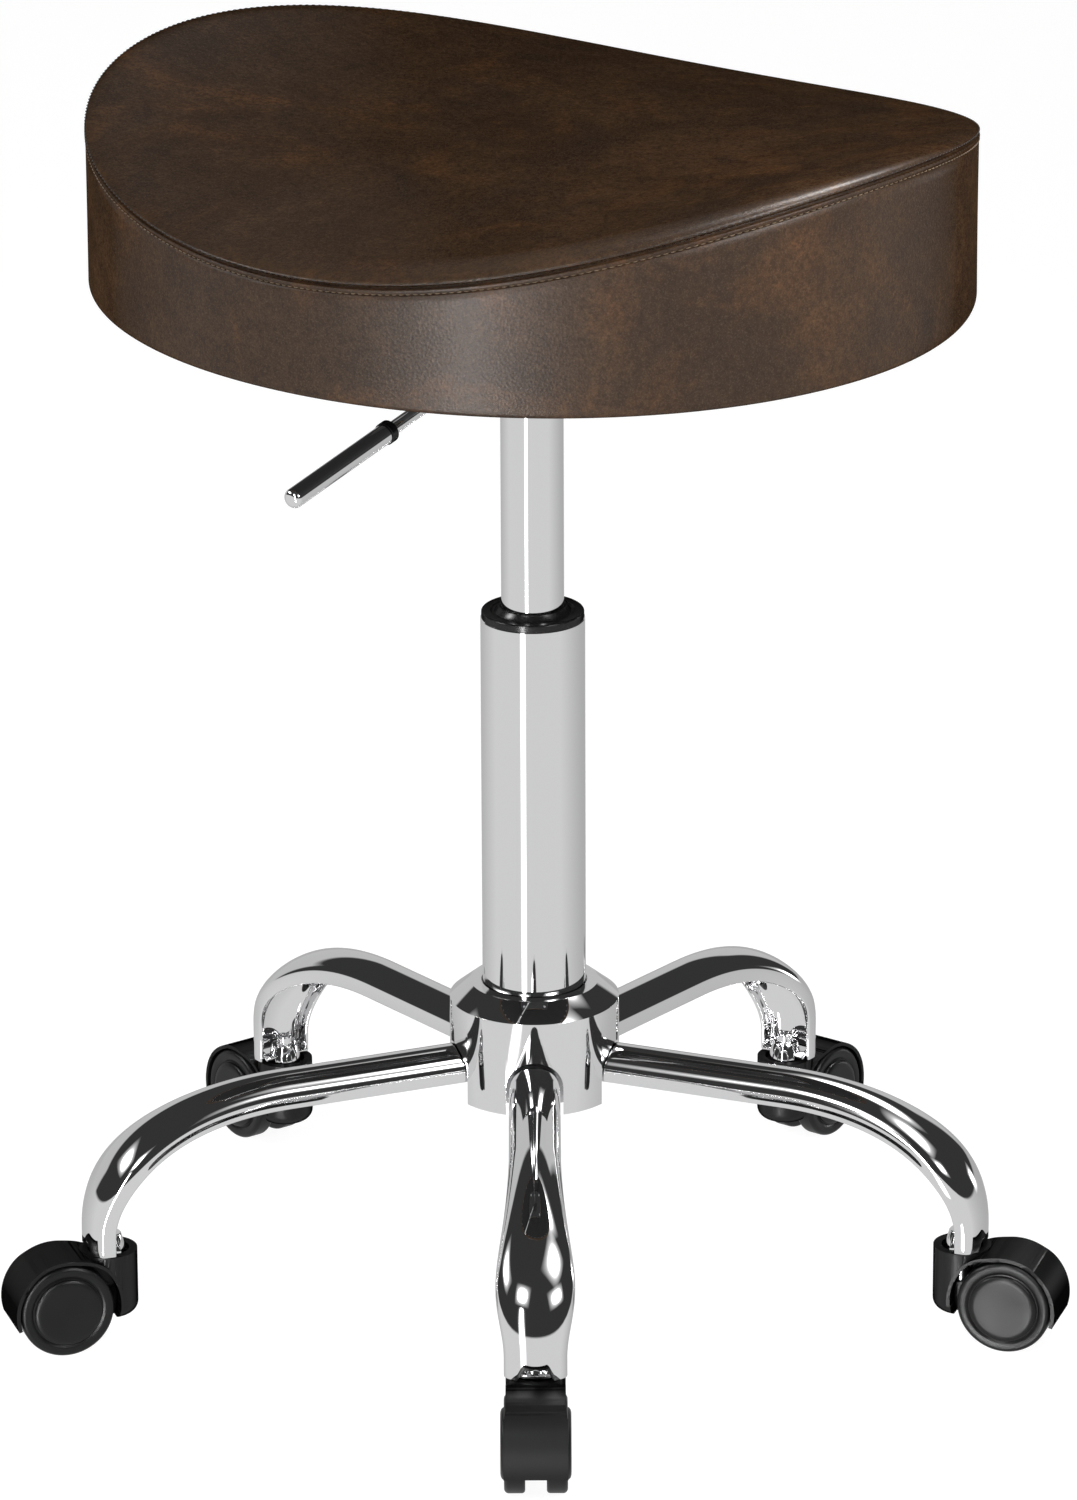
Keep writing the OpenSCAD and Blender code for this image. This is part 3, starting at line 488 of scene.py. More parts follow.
def make_hood(name):
    """One hood about its stem, at the height it stands on the floor."""
    profile = [(0, HOUSING_FOOT)]
    profile += [(HOUSING_R - HOUSING_ROUND + x, HOUSING_FOOT + HOUSING_ROUND - y)
                for y, x in (polar(HOUSING_ROUND, a) for a in range(0, 91, 10))]
    profile += [(HOUSING_R, HOUSING_TOP), (RECESS_R, HOUSING_TOP), (RECESS_R, HOUSING_TOP - RECESS_H),
                (0, HOUSING_TOP - RECESS_H)]
    hood = lathe(name, profile, hood_black, 96, closed=False)
    side = axle_frame()
    shell = prism("cover", hood_cover(), -HOOD_W / 2, HOOD_W / 2, hood_black, side)
    cut(shell, prism("plan", hood_plan(), 0, HOUSING_TOP + HOOD_R, hood_black), "INTERSECT")
    cut(hood, shell, "UNION")
    for sign in (-1, 1):
        low, high = sorted((sign * WEB_W / 2, sign * HOOD_W))
        cut(hood, prism("well", hood_well(), low, high, hood_black, side))
    middle = prism("middle", hood_well(), -WEB_W / 2 - 0.01, WEB_W / 2 + 0.01, hood_black, side)
    web = prism("web", hood_web(), -WEB_W, WEB_W, hood_black, side)
    cut(middle, web)
    cut(hood, middle)
    ease_edges(hood, 0.7, 38, 3)
    return hood


first_hood = None
for arm, turn in ARMS.items():
    if first_hood is None:
        hood = make_hood("caster_hood_" + arm)
        first_hood = hood.data.copy()
    else:
        hood = bpy.data.objects.new("caster_hood_" + arm, first_hood.copy())
        bpy.context.scene.collection.objects.link(hood)
    hood.data.transform(metric(turned_to(turn, Matrix.Translation((STEM_REACH, 0, 0)))))
    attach(hood, "caster_" + arm)
    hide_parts("hood_" + arm)

# Wheels
# Each wheel is a moulded nylon disc with a polished, rounded tread, a flat satin ring and a
# raised cap in the middle, set off by a groove. It runs on a steel axle.
WHEEL_IN, WHEEL_W = 5.0, 9.8
TREAD_ROUND, INNER_ROUND = 2.2, 1.6
CAP_R, CAP_H, CAP_EDGE = 16.8, 1.7, 3.2
AXLE_BORE = 2.55


def wheel_plastic():
    """Black wheel plastic: satin, with faint clouds of gloss and a very fine texture."""
    material, tree, shader = new_material("wheel_nylon", (0.006, 0.006, 0.0062), 0.3)
    cloud = noise(tree, 60, 3)
    tree.links.new(spread(tree, cloud, 0.3, 0.7, 0.30, 0.40), shader.inputs["Roughness"])
    shader.inputs["Specular IOR Level"].default_value = 0.28
    tree.links.new(blend_colours(tree, cloud, (0.004, 0.004, 0.004), (0.008, 0.008, 0.0082)),
                   shader.inputs["Base Color"])
    relief(tree, shader, noise(tree, 1800, 2), 0.00001, 0.4)
    return material


wheel_black = wheel_plastic()
out = WHEEL_IN + WHEEL_W
wheel_profile = [(AXLE_BORE, WHEEL_IN), (WHEEL_R - 2.2, WHEEL_IN)]
wheel_profile += arc(WHEEL_R - INNER_ROUND, WHEEL_IN + INNER_ROUND, INNER_ROUND, -90, 0, 6)
wheel_profile += arc(WHEEL_R - TREAD_ROUND, out - TREAD_ROUND, TREAD_ROUND, 0, 90, 12)
wheel_profile += [(CAP_R + 1.9, out), (CAP_R + 1.5, out - 0.15), (CAP_R + 0.5, out - 0.7), (CAP_R, out - 0.6)]
wheel_profile += [(CAP_R - CAP_EDGE * (1 - math.cos(t)), out + CAP_H * math.sin(t))
                  for t in (math.radians(a) for a in range(0, 91, 9))]
wheel_profile += [(CAP_R - 7, out + CAP_H - 0.08), (0, out + CAP_H - 0.2), (0, out - 0.2),
                  (AXLE_BORE, out - 0.2)]
for arm, turn in ARMS.items():
    for name, side in (("a", 90), ("b", -90)):
        wheel = lathe(f"wheel_{arm}_{name}.disc", wheel_profile, wheel_black, 128, sharp=30)
        spin = Matrix.Translation((STEM_REACH + TRAIL, 0, WHEEL_R)) @ Matrix.Rotation(
            math.radians(side), 4, "X")
        wheel.data.transform(metric(turned_to(turn, spin)))
        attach(wheel, f"wheel_{arm}_{name}")
        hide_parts(f"wheel_{arm}_{name}")

# Column tube and guide bush
# The column is a ground and chromed steel tube, pressed into the hub's taper. A black acetal bush
# sits in its mouth with a flange over the edge and a wiper lip against the inner tube.
COLUMN_Z, COLUMN_TOP = 105, 345
COLUMN_WALL, TAPER_H, TAPER = 1.8, 46, 0.8
GUIDE_LEN, FLANGE_H, LIP_H = 84, 3.5, 2.5
TUBE_R = 15.0

inner = COLUMN_R - COLUMN_WALL
column = lathe("column_shell", [
    (COLUMN_R - TAPER, COLUMN_Z), (COLUMN_R, COLUMN_Z + TAPER_H), (COLUMN_R, COLUMN_TOP - 0.4),
    (COLUMN_R - 0.4, COLUMN_TOP), (inner, COLUMN_TOP), (inner, COLUMN_Z + TAPER_H),
    (inner - TAPER, COLUMN_Z)], chrome, 200, sharp=25)
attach(column, "base")
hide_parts("column_tube")

acetal = moulded_black("black_acetal", 0.010, 0.22, 0.000008)
flange_r = COLUMN_R - 0.4
flange_top = COLUMN_TOP + FLANGE_H
bush_top = flange_top + LIP_H
guide_foot = COLUMN_TOP - GUIDE_LEN
profile = [(TUBE_R + 0.05, guide_foot), (inner, guide_foot), (inner, COLUMN_TOP), (flange_r, COLUMN_TOP)]
profile += arc(flange_r - 0.9, flange_top - 0.9, 0.9, 0, 90, 6)
profile += [(TUBE_R + 5.2, flange_top), (TUBE_R + 4.6, flange_top - 0.5), (TUBE_R + 3.4, flange_top - 0.5)]
profile += [(TUBE_R + 2.6, flange_top + 0.4), (TUBE_R + 1.5, bush_top - 0.2), (TUBE_R + 0.9, bush_top),
            (TUBE_R + 0.05, bush_top - 0.3)]
guide = lathe("guide_collar", profile, acetal, 160, sharp=30)
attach(guide, "base")
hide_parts("guide_bush")
dress(acetal, "tube_gland", "piston")
dress(moulded_black("buffer_rubber", 0.02, 0.7, 0.00003), "rubber_buffer")

# Pressure tube
# The gas lift's inner tube slides in the bush and is hard chromed and ground. Its neck narrows
# where it enters the seat plate's socket.
TUBE_FOOT, TUBE_TOP, TUBE_NECK_H = 283, 479, 8
TUBE_BORE, TUBE_NECK, BUTTON_BORE = 13.2, 14.2, 3.55

neck_z = TUBE_TOP - TUBE_NECK_H
tube = lathe("pressure_tube_shell", [
    (TUBE_BORE, TUBE_FOOT), (TUBE_R - 0.4, TUBE_FOOT), (TUBE_R, TUBE_FOOT + 0.4), (TUBE_R, neck_z),
    (TUBE_NECK, neck_z), (TUBE_NECK, TUBE_TOP), (BUTTON_BORE, TUBE_TOP), (BUTTON_BORE, TUBE_TOP - 12),
    (TUBE_BORE, TUBE_TOP - 12)], chrome, 160, sharp=25)
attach(tube, "seat")
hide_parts("pressure_tube")

# Seat plate
# A square steel plate with a welded socket and two lever ears, in black powder coat.
# Four screws hold it to the T-nuts of the board.


def powder_coat():
    material, tree, shader = new_material("powder_coat", (0.02, 0.02, 0.021), 0.42)
    relief(tree, shader, noise(tree, 900, 3), 0.00006, 0.6)
    tree.links.new(spread(tree, noise(tree, 70, 2), 0.3, 0.7, 0.36, 0.5), shader.inputs["Roughness"])
    return material


dress(powder_coat(), "seat_plate")

# Lever
# A chromed rod pivots between the plate's ears and presses the valve. A chromed grip with a round
# end is pushed on its outer end behind a black plastic ferrule.
LEVER_TURN, LEVER_SLOPE = -125, 9.4
PIVOT_REACH, PIVOT_Z = 30, 482.33
LEVER_LEN, LEVER_TAIL_LEN, GRIP_LEN, FERRULE_LEN = 164, 36, 74, 5
LEVER_R, GRIP_R = 3.25, 4.8

along_lever = turned_to(LEVER_TURN, Matrix.Translation((PIVOT_REACH, 0, PIVOT_Z)) @ Matrix.Rotation(
    math.radians(90 + LEVER_SLOPE), 4, "Y"))
grip_from = LEVER_LEN - GRIP_LEN
end_z = LEVER_LEN - 12
rod = lathe("lever_shaft", [
    (0, -LEVER_TAIL_LEN), (LEVER_R - 0.4, -LEVER_TAIL_LEN), (LEVER_R, 0.4 - LEVER_TAIL_LEN),
    (LEVER_R, end_z), (0, end_z)], chrome, 64, closed=False, sharp=25)
bore = LEVER_R + 0.05
profile = [(bore, grip_from), (GRIP_R - 0.5, grip_from), (GRIP_R, grip_from + 0.5)]
profile += arc(GRIP_R - 3.2, LEVER_LEN - 3.2, 3.2, 0, 90, 10)
profile += [(0, LEVER_LEN), (0, end_z + 0.05), (bore, end_z + 0.05)]
grip = lathe("lever_handle", profile, chrome, 96, closed=True, sharp=25)
ring_r = GRIP_R + 0.6
ferrule = lathe("handle_ferrule", [
    (bore, grip_from - FERRULE_LEN + 0.8), (bore + 0.5, grip_from - FERRULE_LEN),
    (ring_r - 0.7, grip_from - FERRULE_LEN), (ring_r, grip_from - FERRULE_LEN + 0.7),
    (ring_r, grip_from - 0.3), (ring_r - 0.3, grip_from), (bore, grip_from)], acetal, 96, sharp=30)
for piece, node, finish in ((rod, "lever_rod", "chrome"), (grip, "lever_grip", "chrome"),
                            (ferrule, "grip_ferrule", "bush_black")):
    piece.data.transform(metric(along_lever))
    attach(piece, "lever")
    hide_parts(node)

# Board and dust cloth
# The seat is built on a 12 mm birch plywood board. A black non-woven cloth is stapled over the
# turned-in leather below it, and sags a little between its staples.
SEAT_R, SEAT_OVAL, OVAL_TURN = 208.6, 6.6, -47
BAND_H, SADDLE_RISE, RIDGE_TURN, NOSE_RISE, NOSE_TURN = 72.3, 18.7, -37.2, 1.6, -80
RIM_WAVE, WAVE_TURN = 1.15, 38
CROWN_H, SHOULDER_W, SHOULDER_H, LEATHER, FOLD_W = 71, 11, 1.8, 1.5, 24
SEAT_Z = 510.5
CLOTH, CLOTH_SAG, SAG_CHANGE, STAPLE_SPACES = 0.6, 2.2, 0.25, 16
PLATE_SIDE = 150


def birch_plywood():
    """Pale birch with darker plies at the edge and a fine grain along the faces."""
    material, tree, shader = new_material("birch_plywood", (0.6, 0.43, 0.25), 0.6)
    grain = noise(tree, 60, 5, stretch=(1, 14, 1))
    plies = add_node(tree, "ShaderNodeTexWave", Vector=part_point(tree), Scale=26, Distortion=0.3)
    plies.bands_direction = "Z"
    face = blend_colours(tree, grain, (0.50, 0.33, 0.17), (0.68, 0.50, 0.31))
    tree.links.new(blend_colours(tree, spread(tree, plies.outputs["Fac"], 0.3, 0.7, 0, 0.5), face,
                                 (0.38, 0.22, 0.10)), shader.inputs["Base Color"])
    relief(tree, shader, grain, 0.0001, 0.4)
    return material


def nonwoven_black():
    """Thin spun cloth: matted fibres and a faint bonded dot pattern."""
    material, tree, shader = new_material("nonwoven_black", (0.006, 0.006, 0.006), 0.9)
    fibres = noise(tree, 1500, 5, stretch=(1, 3, 1), distortion=1.5)
    dots = add_node(tree, "ShaderNodeTexVoronoi", Vector=part_point(tree), Scale=450.0)
    tree.links.new(blend_colours(tree, fibres, (0.003, 0.003, 0.003), (0.010, 0.010, 0.010)),
                   shader.inputs["Base Color"])
    relief(tree, shader, dots.outputs["Distance"], 0.0002, 0.5)
    return material


def seam_r(a):
    return SEAT_R + SEAT_OVAL * math.cos(2 * (a - math.radians(OVAL_TURN)))


def seam_z(a):
    return (SEAT_Z + BAND_H + SADDLE_RISE * math.cos(2 * (a - math.radians(RIDGE_TURN)))
            + NOSE_RISE * math.cos(a - math.radians(NOSE_TURN))
            + RIM_WAVE * math.cos(4 * (a - math.radians(WAVE_TURN))))


def angles(count):
    return [2 * math.pi * i / count for i in range(count)]


def round_square(side, corner, a):
    """How far a rounded square reaches in direction a."""
    c, s = abs(math.cos(a)), abs(math.sin(a))
    power = 2 * side / corner / 2.4
    return side / 2 / (c ** power + s ** power) ** (1 / power)


dress(birch_plywood(), "seat_board")
rings = []
for depth in (0, CLOTH):
    ring_list = []
    for k in (0, 0.15, 0.35, 0.6, 0.8, 0.92, 1):
        ring_list.append([])
        for a in angles(192):
            near = round_square(PLATE_SIDE + 3, 14, a)
            far = seam_r(a) - FOLD_W / 2
            r = near + (far - near) * k
            sag = CLOTH_SAG * math.sin(math.pi * k) * (1 + SAG_CHANGE * math.sin(STAPLE_SPACES * a))
            ring_list[-1].append((r * math.cos(a), r * math.sin(a), SEAT_Z - sag - depth))
    rings += ring_list if depth == 0 else ring_list[::-1]
points, faces = loft(rings, closed_rows=True)
cloth = add_piece("under_cloth", points, faces, nonwoven_black(), 60)
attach(cloth, "seat")
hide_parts("dust_cloth")

# Foam
# A cut block of cream polyurethane foam carries the leather. It can't be seen on the finished
# stool, and fills the cover with a small clearance, as the cut block does before it is pulled tight.
FOAM_Z = 524.3
DISH_SQUARE, DISH_CUBE = 0.35, 0.65
SWELL_TURN, SWELL_REACH, SWELL_W, SWELL_H = -60, 0.30, 20, 8.0  # a fuller shoulder at the front right


def pad_point(a, k, d):
    """A point of the pad in direction a, d under its surface.

    k is 0 at the middle, 1 at the shoulder and 2 at the seam."""
    roll = math.radians(90 * max(0, k - 1))
    full = math.exp((math.cos(a - math.radians(SWELL_TURN)) - 1) / SWELL_REACH)
    wide, high = SHOULDER_W + SWELL_W * full, SHOULDER_H + SWELL_H * full
    r = (seam_r(a) - wide) * min(1, k) + (wide - d) * math.sin(roll)
    q = (r + d * math.sin(roll)) / seam_r(a)
    mid_z = SEAT_Z + CROWN_H
    rise = seam_z(a) + high - mid_z
    dished = mid_z + rise * (DISH_SQUARE * q * q + DISH_CUBE * q ** 3)
    z = dished - high * (1 - math.cos(roll)) - d * math.cos(roll)
    return r * math.cos(a), r * math.sin(a), z


def seam_point(a, inset, drop):
    r = seam_r(a) - inset
    return r * math.cos(a), r * math.sin(a), seam_z(a) - drop


def level_point(a, inset, z):
    r = seam_r(a) - inset
    return r * math.cos(a), r * math.sin(a), z


def cream_foam():
    material, tree, shader = new_material("cream_foam", (0.80, 0.70, 0.45), 0.95)
    cells = add_node(tree, "ShaderNodeTexVoronoi", Vector=part_point(tree), Scale=900.0)
    tree.links.new(blend_colours(tree, cells.outputs["Distance"], (0.86, 0.78, 0.55), (0.62, 0.50, 0.28)),
                   shader.inputs["Base Color"])
    relief(tree, shader, cells.outputs["Distance"], 0.0005, 0.8)
    return material


def dome_mesh(rows, top, foot):
    """Rings from the top outwards and down, closed by a point above and one below."""
    points, faces = loft(rows, caps=False)
    count = len(rows[0])
    points += [top, foot]
    peak, base = len(points) - 2, len(points) - 1
    faces += [(peak, (i + 1) % count, i) for i in range(count)]
    low = (len(rows) - 1) * count
    faces += [(low + i, low + (i + 1) % count, base) for i in range(count)]
    return points, faces


under = LEATHER + 0.4
rows = [[pad_point(a, k, under) for a in angles(180)] for k in [i / 12 for i in range(1, 13)] + [1.2, 1.35]]
rows += [[seam_point(a, 4.4, 2.6) for a in angles(180)], [seam_point(a, 4.4, 5) for a in angles(180)],
         [seam_point(a, 2.4, 8) for a in angles(180)], [level_point(a, 2.4, FOAM_Z) for a in angles(180)]]
points, faces = dome_mesh(rows, pad_point(0, 0, under), (0, 0, FOAM_Z))
foam = add_piece("foam_block", points, faces, cream_foam(), 50)
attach(foam, "seat")
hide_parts("seat_foam")

# Leather cover
# Two panels of waxed, pull-up brown leather: a top panel, and a side band whose upper edge is
# turned under as a ridge below the seam and topstitched. It is pulled tight over the foam.
STITCHES = 384
PER_STITCH = 4
AROUND = STITCHES * PER_STITCH
SEAM_IN = 2.6
RIDGE_PROUD, RIDGE_W = 0.3, 4.3
BAND_INSET, BAND_DRAW, FOLD_ROUND = 0.1, 0.2, 2.4
GATHERS, GATHER_H = 64, 0.45


def waxed_leather(name, shift, roughness):
    """Dark brown waxed leather: smoky clouds, rust-coloured worn patches and a fine pebbled grain."""
    material, tree, shader = new_material(name, (0.046, 0.026, 0.015), 0.45)
    move = add_node(tree, "ShaderNodeVectorMath", operation="ADD")
    move.inputs[1].default_value = shift
    tree.links.new(part_point(tree), move.inputs[0])
    here = move.outputs["Vector"]

    def field(scale, detail, distortion=0.0, rough=0.5):
        return add_node(tree, "ShaderNodeTexNoise", Vector=here, Scale=scale, Detail=detail,
                        Distortion=distortion, Roughness=rough).outputs["Fac"]

    clouds = spread(tree, field(13, 6, 0.9, 0.68), 0.38, 0.62, 0, 1)
    rust = spread(tree, field(11, 6, 1.6, 0.66), 0.51, 0.70, 0, 0.85)
    smoke = spread(tree, field(21, 5, 0.8, 0.62), 0.52, 0.70, 0, 0.7)
    dust = field(95, 4, 0.3, 0.7)
    mottle = field(430, 3, 0, 0.7)
    speck = field(1300, 2, 0, 0.6)
    base = blend_colours(tree, clouds, (0.036, 0.0195, 0.0105), (0.064, 0.035, 0.018))
    base = blend_colours(tree, rust, base, (0.105, 0.047, 0.018))
    base = blend_colours(tree, smoke, base, (0.027, 0.018, 0.0135))
    base = blend_colours(tree, spread(tree, dust, 0.4, 0.62, 0.4, 0), base, (0.022, 0.013, 0.008))
    base = blend_colours(tree, spread(tree, mottle, 0.38, 0.62, 0.65, 0), base, (0.014, 0.008, 0.005))
    base = blend_colours(tree, spread(tree, speck, 0.5, 0.72, 0, 0.4), base, (0.115, 0.074, 0.042))
    tree.links.new(base, shader.inputs["Base Color"])
    facing_gloss(tree, shader, 0.55, roughness)
    pebbles = add_node(tree, "ShaderNodeTexVoronoi", Vector=here, Scale=720.0).outputs["Distance"]
    fine = relief(tree, shader, speck, 0.00005, 0.6)
    grain = relief(tree, shader, pebbles, 0.00014, 0.6, under=fine)
    tree.links.new(grain, shader.inputs["Coat Normal"])
    return material


def scallop(i, depth):
    """How far the edge is drawn in at point i of a stitched seam, by its stitches."""
    return depth * (0.5 + 0.5 * math.cos(2 * math.pi * i / PER_STITCH))


def bridge(faces, inner_ring, outer_ring):
    """Joins a ring to one with a whole number of times as many points."""
    ratio = len(outer_ring) // len(inner_ring)
    count = len(inner_ring)
    for i in range(count):
        a, b = inner_ring[i], inner_ring[(i + 1) % count]
        fan = [outer_ring[(i * ratio + j) % len(outer_ring)] for j in range(ratio + 1)]
        if ratio == 1:
            faces.append((a, b, fan[1], fan[0]))
            continue
        middle = ratio // 2
        faces += [(a, fan[j + 1], fan[j]) for j in range(middle)]
        faces.append((a, b, fan[middle]))
        faces += [(b, fan[j + 1], fan[j]) for j in range(middle, ratio)]


def panel_mesh(levels, top, foot):
    """A closed skin from rings of any whole-multiple lengths, with a point at each end."""
    points, faces, rings = [], [], []
    for level in levels:
        rings.append(list(range(len(points), len(points) + len(level))))
        points += level
    for first, second in zip(rings, rings[1:]):
        if len(first) <= len(second):
            bridge(faces, first, second)
        else:
            bridge(faces, second, first)
    points += [top, foot]
    peak, base = len(points) - 2, len(points) - 1
    faces += [(peak, rings[0][(i + 1) % len(rings[0])], rings[0][i]) for i in range(len(rings[0]))]
    faces += [(base, rings[-1][i], rings[-1][(i + 1) % len(rings[-1])]) for i in range(len(rings[-1]))]
    return points, faces


def top_skin(d):
    """The top panel's rings at depth d, from the middle to the seam and in under it."""
    coarse = AROUND // 8
    levels = [[pad_point(a, k, d) for a in angles(coarse)] for k in [i / 20 for i in range(1, 20)]]
    for k in (0.98, 1.1, 1.2, 1.3, 1.4, 1.5, 1.6, 1.7, 1.8, 1.88):
        levels.append([pad_point(a, k, d) for a in angles(AROUND)])
    edge = []
    for i, a in enumerate(angles(AROUND)):
        x, y, z = pad_point(a, 1.95, d)
        pull = scallop(i, 0.35)
        edge.append((x - pull * math.cos(a), y - pull * math.sin(a), z - pull * 0.4))
    levels.append(edge)
    return levels


leather_top = waxed_leather("leather_top", (0.4, 0.1, 0.0), 0.36)
outer = top_skin(0)
turned_in = [[seam_point(a, 0.9 + scallop(i, 0.3), 0.35) for i, a in enumerate(angles(AROUND))],
             [seam_point(a, 1.9, 0.45) for a in angles(AROUND)],
             [seam_point(a, SEAM_IN, 0.9) for a in angles(AROUND)],
             [seam_point(a, SEAM_IN + 0.8, 0.2) for a in angles(AROUND)]]
points, faces = panel_mesh(outer + turned_in + top_skin(LEATHER)[::-1][1:], pad_point(0, 0, 0),
                           pad_point(0, 0, LEATHER))
top = add_piece("leather_top_panel", points, faces, leather_top, 75)

leather_side = waxed_leather("leather_side", (0.0, 0.7, 0.3), 0.40)
ridge_rows = []
ridge = [(2.9, 1.1), (2.3, 1.0), (2.0, 1.75), (0.8, 1.6), (0.25, 1.6), (0.1 - RIDGE_PROUD, 1.85),
         (-RIDGE_PROUD, 2.25), (0.05 - RIDGE_PROUD, 2.7), (0.12 - RIDGE_PROUD, 3.2), (0.1, 3.75),
         (0.45, RIDGE_W - 0.1), (0.75, RIDGE_W + 0.1), (2.8, RIDGE_W + 0.2)]
for step, (inset, drop) in enumerate(ridge):
    pinch = 0.2 if 3 <= step <= 5 else 0.16 if 9 <= step <= 10 else 0
    ridge_rows.append([seam_point(a, inset + scallop(i + 2, pinch), drop + scallop(i + 2, pinch))
                       for i, a in enumerate(angles(AROUND))])
points, faces = loft(ridge_rows, closed_rows=True)
ridge_piece = add_piece("leather_seam_ridge", points, faces, leather_side, 75)


def band_skin(d, count):
    """The side band's rings at depth d, from below the ridge down and in under the board."""
    around = angles(count)
    top_drop = RIDGE_W + 0.25
    levels = [[seam_point(a, BAND_INSET + d + 0.5, top_drop) for a in around]]
    for k in [i / 16 for i in range(0, 16)]:
        ring = []
        for a in around:
            bow = math.sin(math.pi * k)
            slack = 0.16 * math.sin(9 * a + 1) * bow + 0.1 * math.sin(23 * a) * bow
            inset = BAND_INSET + BAND_DRAW * bow + d + slack
            high = seam_z(a) - top_drop - 0.45
            low = SEAT_Z + FOLD_ROUND
            ring.append(level_point(a, inset, high + (low - high) * k))
        levels.append(ring)
    for t in range(0, 91, 15):
        bend = math.radians(t)
        levels.append([level_point(a, BAND_INSET + FOLD_ROUND - (FOLD_ROUND - d) * math.cos(bend),
                                   SEAT_Z + FOLD_ROUND - (FOLD_ROUND - d) * math.sin(bend)) for a in around])
    for k in (0.4, 0.7, 1.0):
        gather = [GATHER_H * k * (1 + math.sin(GATHERS * a)) / 2 for a in around]
        levels.append([level_point(a, 4.4 + (FOLD_W - 4.4) * k, SEAT_Z + d + (g if d == 0 else 0))
                       for a, g in zip(around, gather)])
    return levels


points, faces = loft(band_skin(0, STITCHES) + band_skin(LEATHER, STITCHES)[::-1], closed_rows=True)
band = add_piece("leather_side_band", points, faces, leather_side, 60)
for piece, node in ((top, "top_panel"), (ridge_piece, "welt"), (band, "side_band")):
    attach(piece, "seat")
    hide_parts(node)

# Thread
# Two rows of waxed polyester thread, about three stitches to the centimetre: one closes the seam
# on the top panel's edge, and the other topstitches the ridge below it.
THREAD_R = 0.24


def waxed_thread(name, dark, light):
    material, tree, shader = new_material(name, light, 0.45)
    twist = noise(tree, 1800, 2)
    tree.links.new(blend_colours(tree, twist, dark, light), shader.inputs["Base Color"])
    relief(tree, shader, twist, 0.0001, 0.5)
    return material


def stitch_row(name, length, surface, thread):
    """Short bowed stitches along a seam; surface gives the point at a share of the way round and a height."""
    points, faces = [], []
    stations, sides = 7, 6
    for s in range(STITCHES):
        first = len(points)
        spots = []
        for j in range(stations):
            share = -0.5 + j / (stations - 1)
            bow = 1 - (2 * share) ** 4
            turn = 2 * math.pi * (s + 0.5 + share * length) / STITCHES
            spots.append(surface(turn, THREAD_R * (1.9 * bow - 1.2)))
        along = (spots[-1] - spots[0]).normalized()
        outward = Vector((spots[3].x, spots[3].y, 0)).normalized()
        side = along.cross(outward).normalized()
        for j, spot in enumerate(spots):
            thick = THREAD_R * (0.35 + 0.65 * math.sin(math.pi * (j + 0.6) / (stations + 0.2)))
            for i in range(sides):
                t = 2 * math.pi * i / sides
                points.append(spot + thick * (math.cos(t) * side + math.sin(t) * outward))
        for j in range(stations - 1):
            low, high = first + j * sides, first + (j + 1) * sides
            faces += [(low + i, low + (i + 1) % sides, high + (i + 1) % sides, high + i)
                      for i in range(sides)]
        faces += [tuple(range(first, first + sides)),
                  tuple(range(first + (stations - 1) * sides, first + stations * sides))]
    return add_piece(name, points, faces, thread, 60)


def on_panel(a, lift):
    """On the top panel's turned edge, just above the seam."""
    x, y, z = pad_point(a, 1.93, 0)
    return Vector((x + lift * math.cos(a), y + lift * math.sin(a), z + 0.1))


def on_ridge(a, lift):
    """On the lower edge of the ridge."""
    return Vector(seam_point(a, 0.12 - lift, 3.95))


# The seam row's thread is near black: dark brown thread with the shade of the seam groove painted into its
# colour.
groove_shaded_thread = waxed_thread("groove_shaded_thread", (0.004, 0.003, 0.002), (0.014, 0.009, 0.006))
tan_thread = waxed_thread("tan_thread", (0.07, 0.045, 0.025), (0.24, 0.17, 0.105))
for name, length, surface, thread in (("seam_stitches", 0.62, on_panel, groove_shaded_thread),
                                      ("ridge_stitches", 0.66, on_ridge, tan_thread)):
    row = stitch_row(name, length, surface, thread)
    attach(row, "seat")

# Floor and surroundings
# White paper that only the camera sees, with a soft shadow, in a dark studio. Everything else meets
# a plain bright ground, a dark ceiling and a low white card behind the stool.
FLOOR_HALF = 9.0
FLOOR_SHARE, FLOOR_WHITE = 0.8, 1.19
GROUND_WHITE, GROUND_DIM, CEILING = 0.69, 0.43, 0.036
DIM_SIDE = 75
CARD_WHITE, CARD_RISE = 0.544, 0.55
CARD_MIDDLE, CARD_HALF = 106, 46


def calculate(tree, operation, *values):
    """The result of a sum on sockets and numbers."""
    node = add_node(tree, "ShaderNodeMath", operation=operation)
    for socket, value in zip(node.inputs, values):
        if isinstance(value, bpy.types.NodeSocket):
            tree.links.new(value, socket)
        else:
            socket.default_value = value
    return node.outputs[0]


def along(tree, vector, azimuth):
    """How much of a vector points in a level direction."""
    dot = add_node(tree, "ShaderNodeVectorMath", operation="DOT_PRODUCT")
    tree.links.new(vector, dot.inputs[0])
    dot.inputs[1].default_value = (math.cos(math.radians(azimuth)), math.sin(math.radians(azimuth)), 0)
    return dot.outputs["Value"]


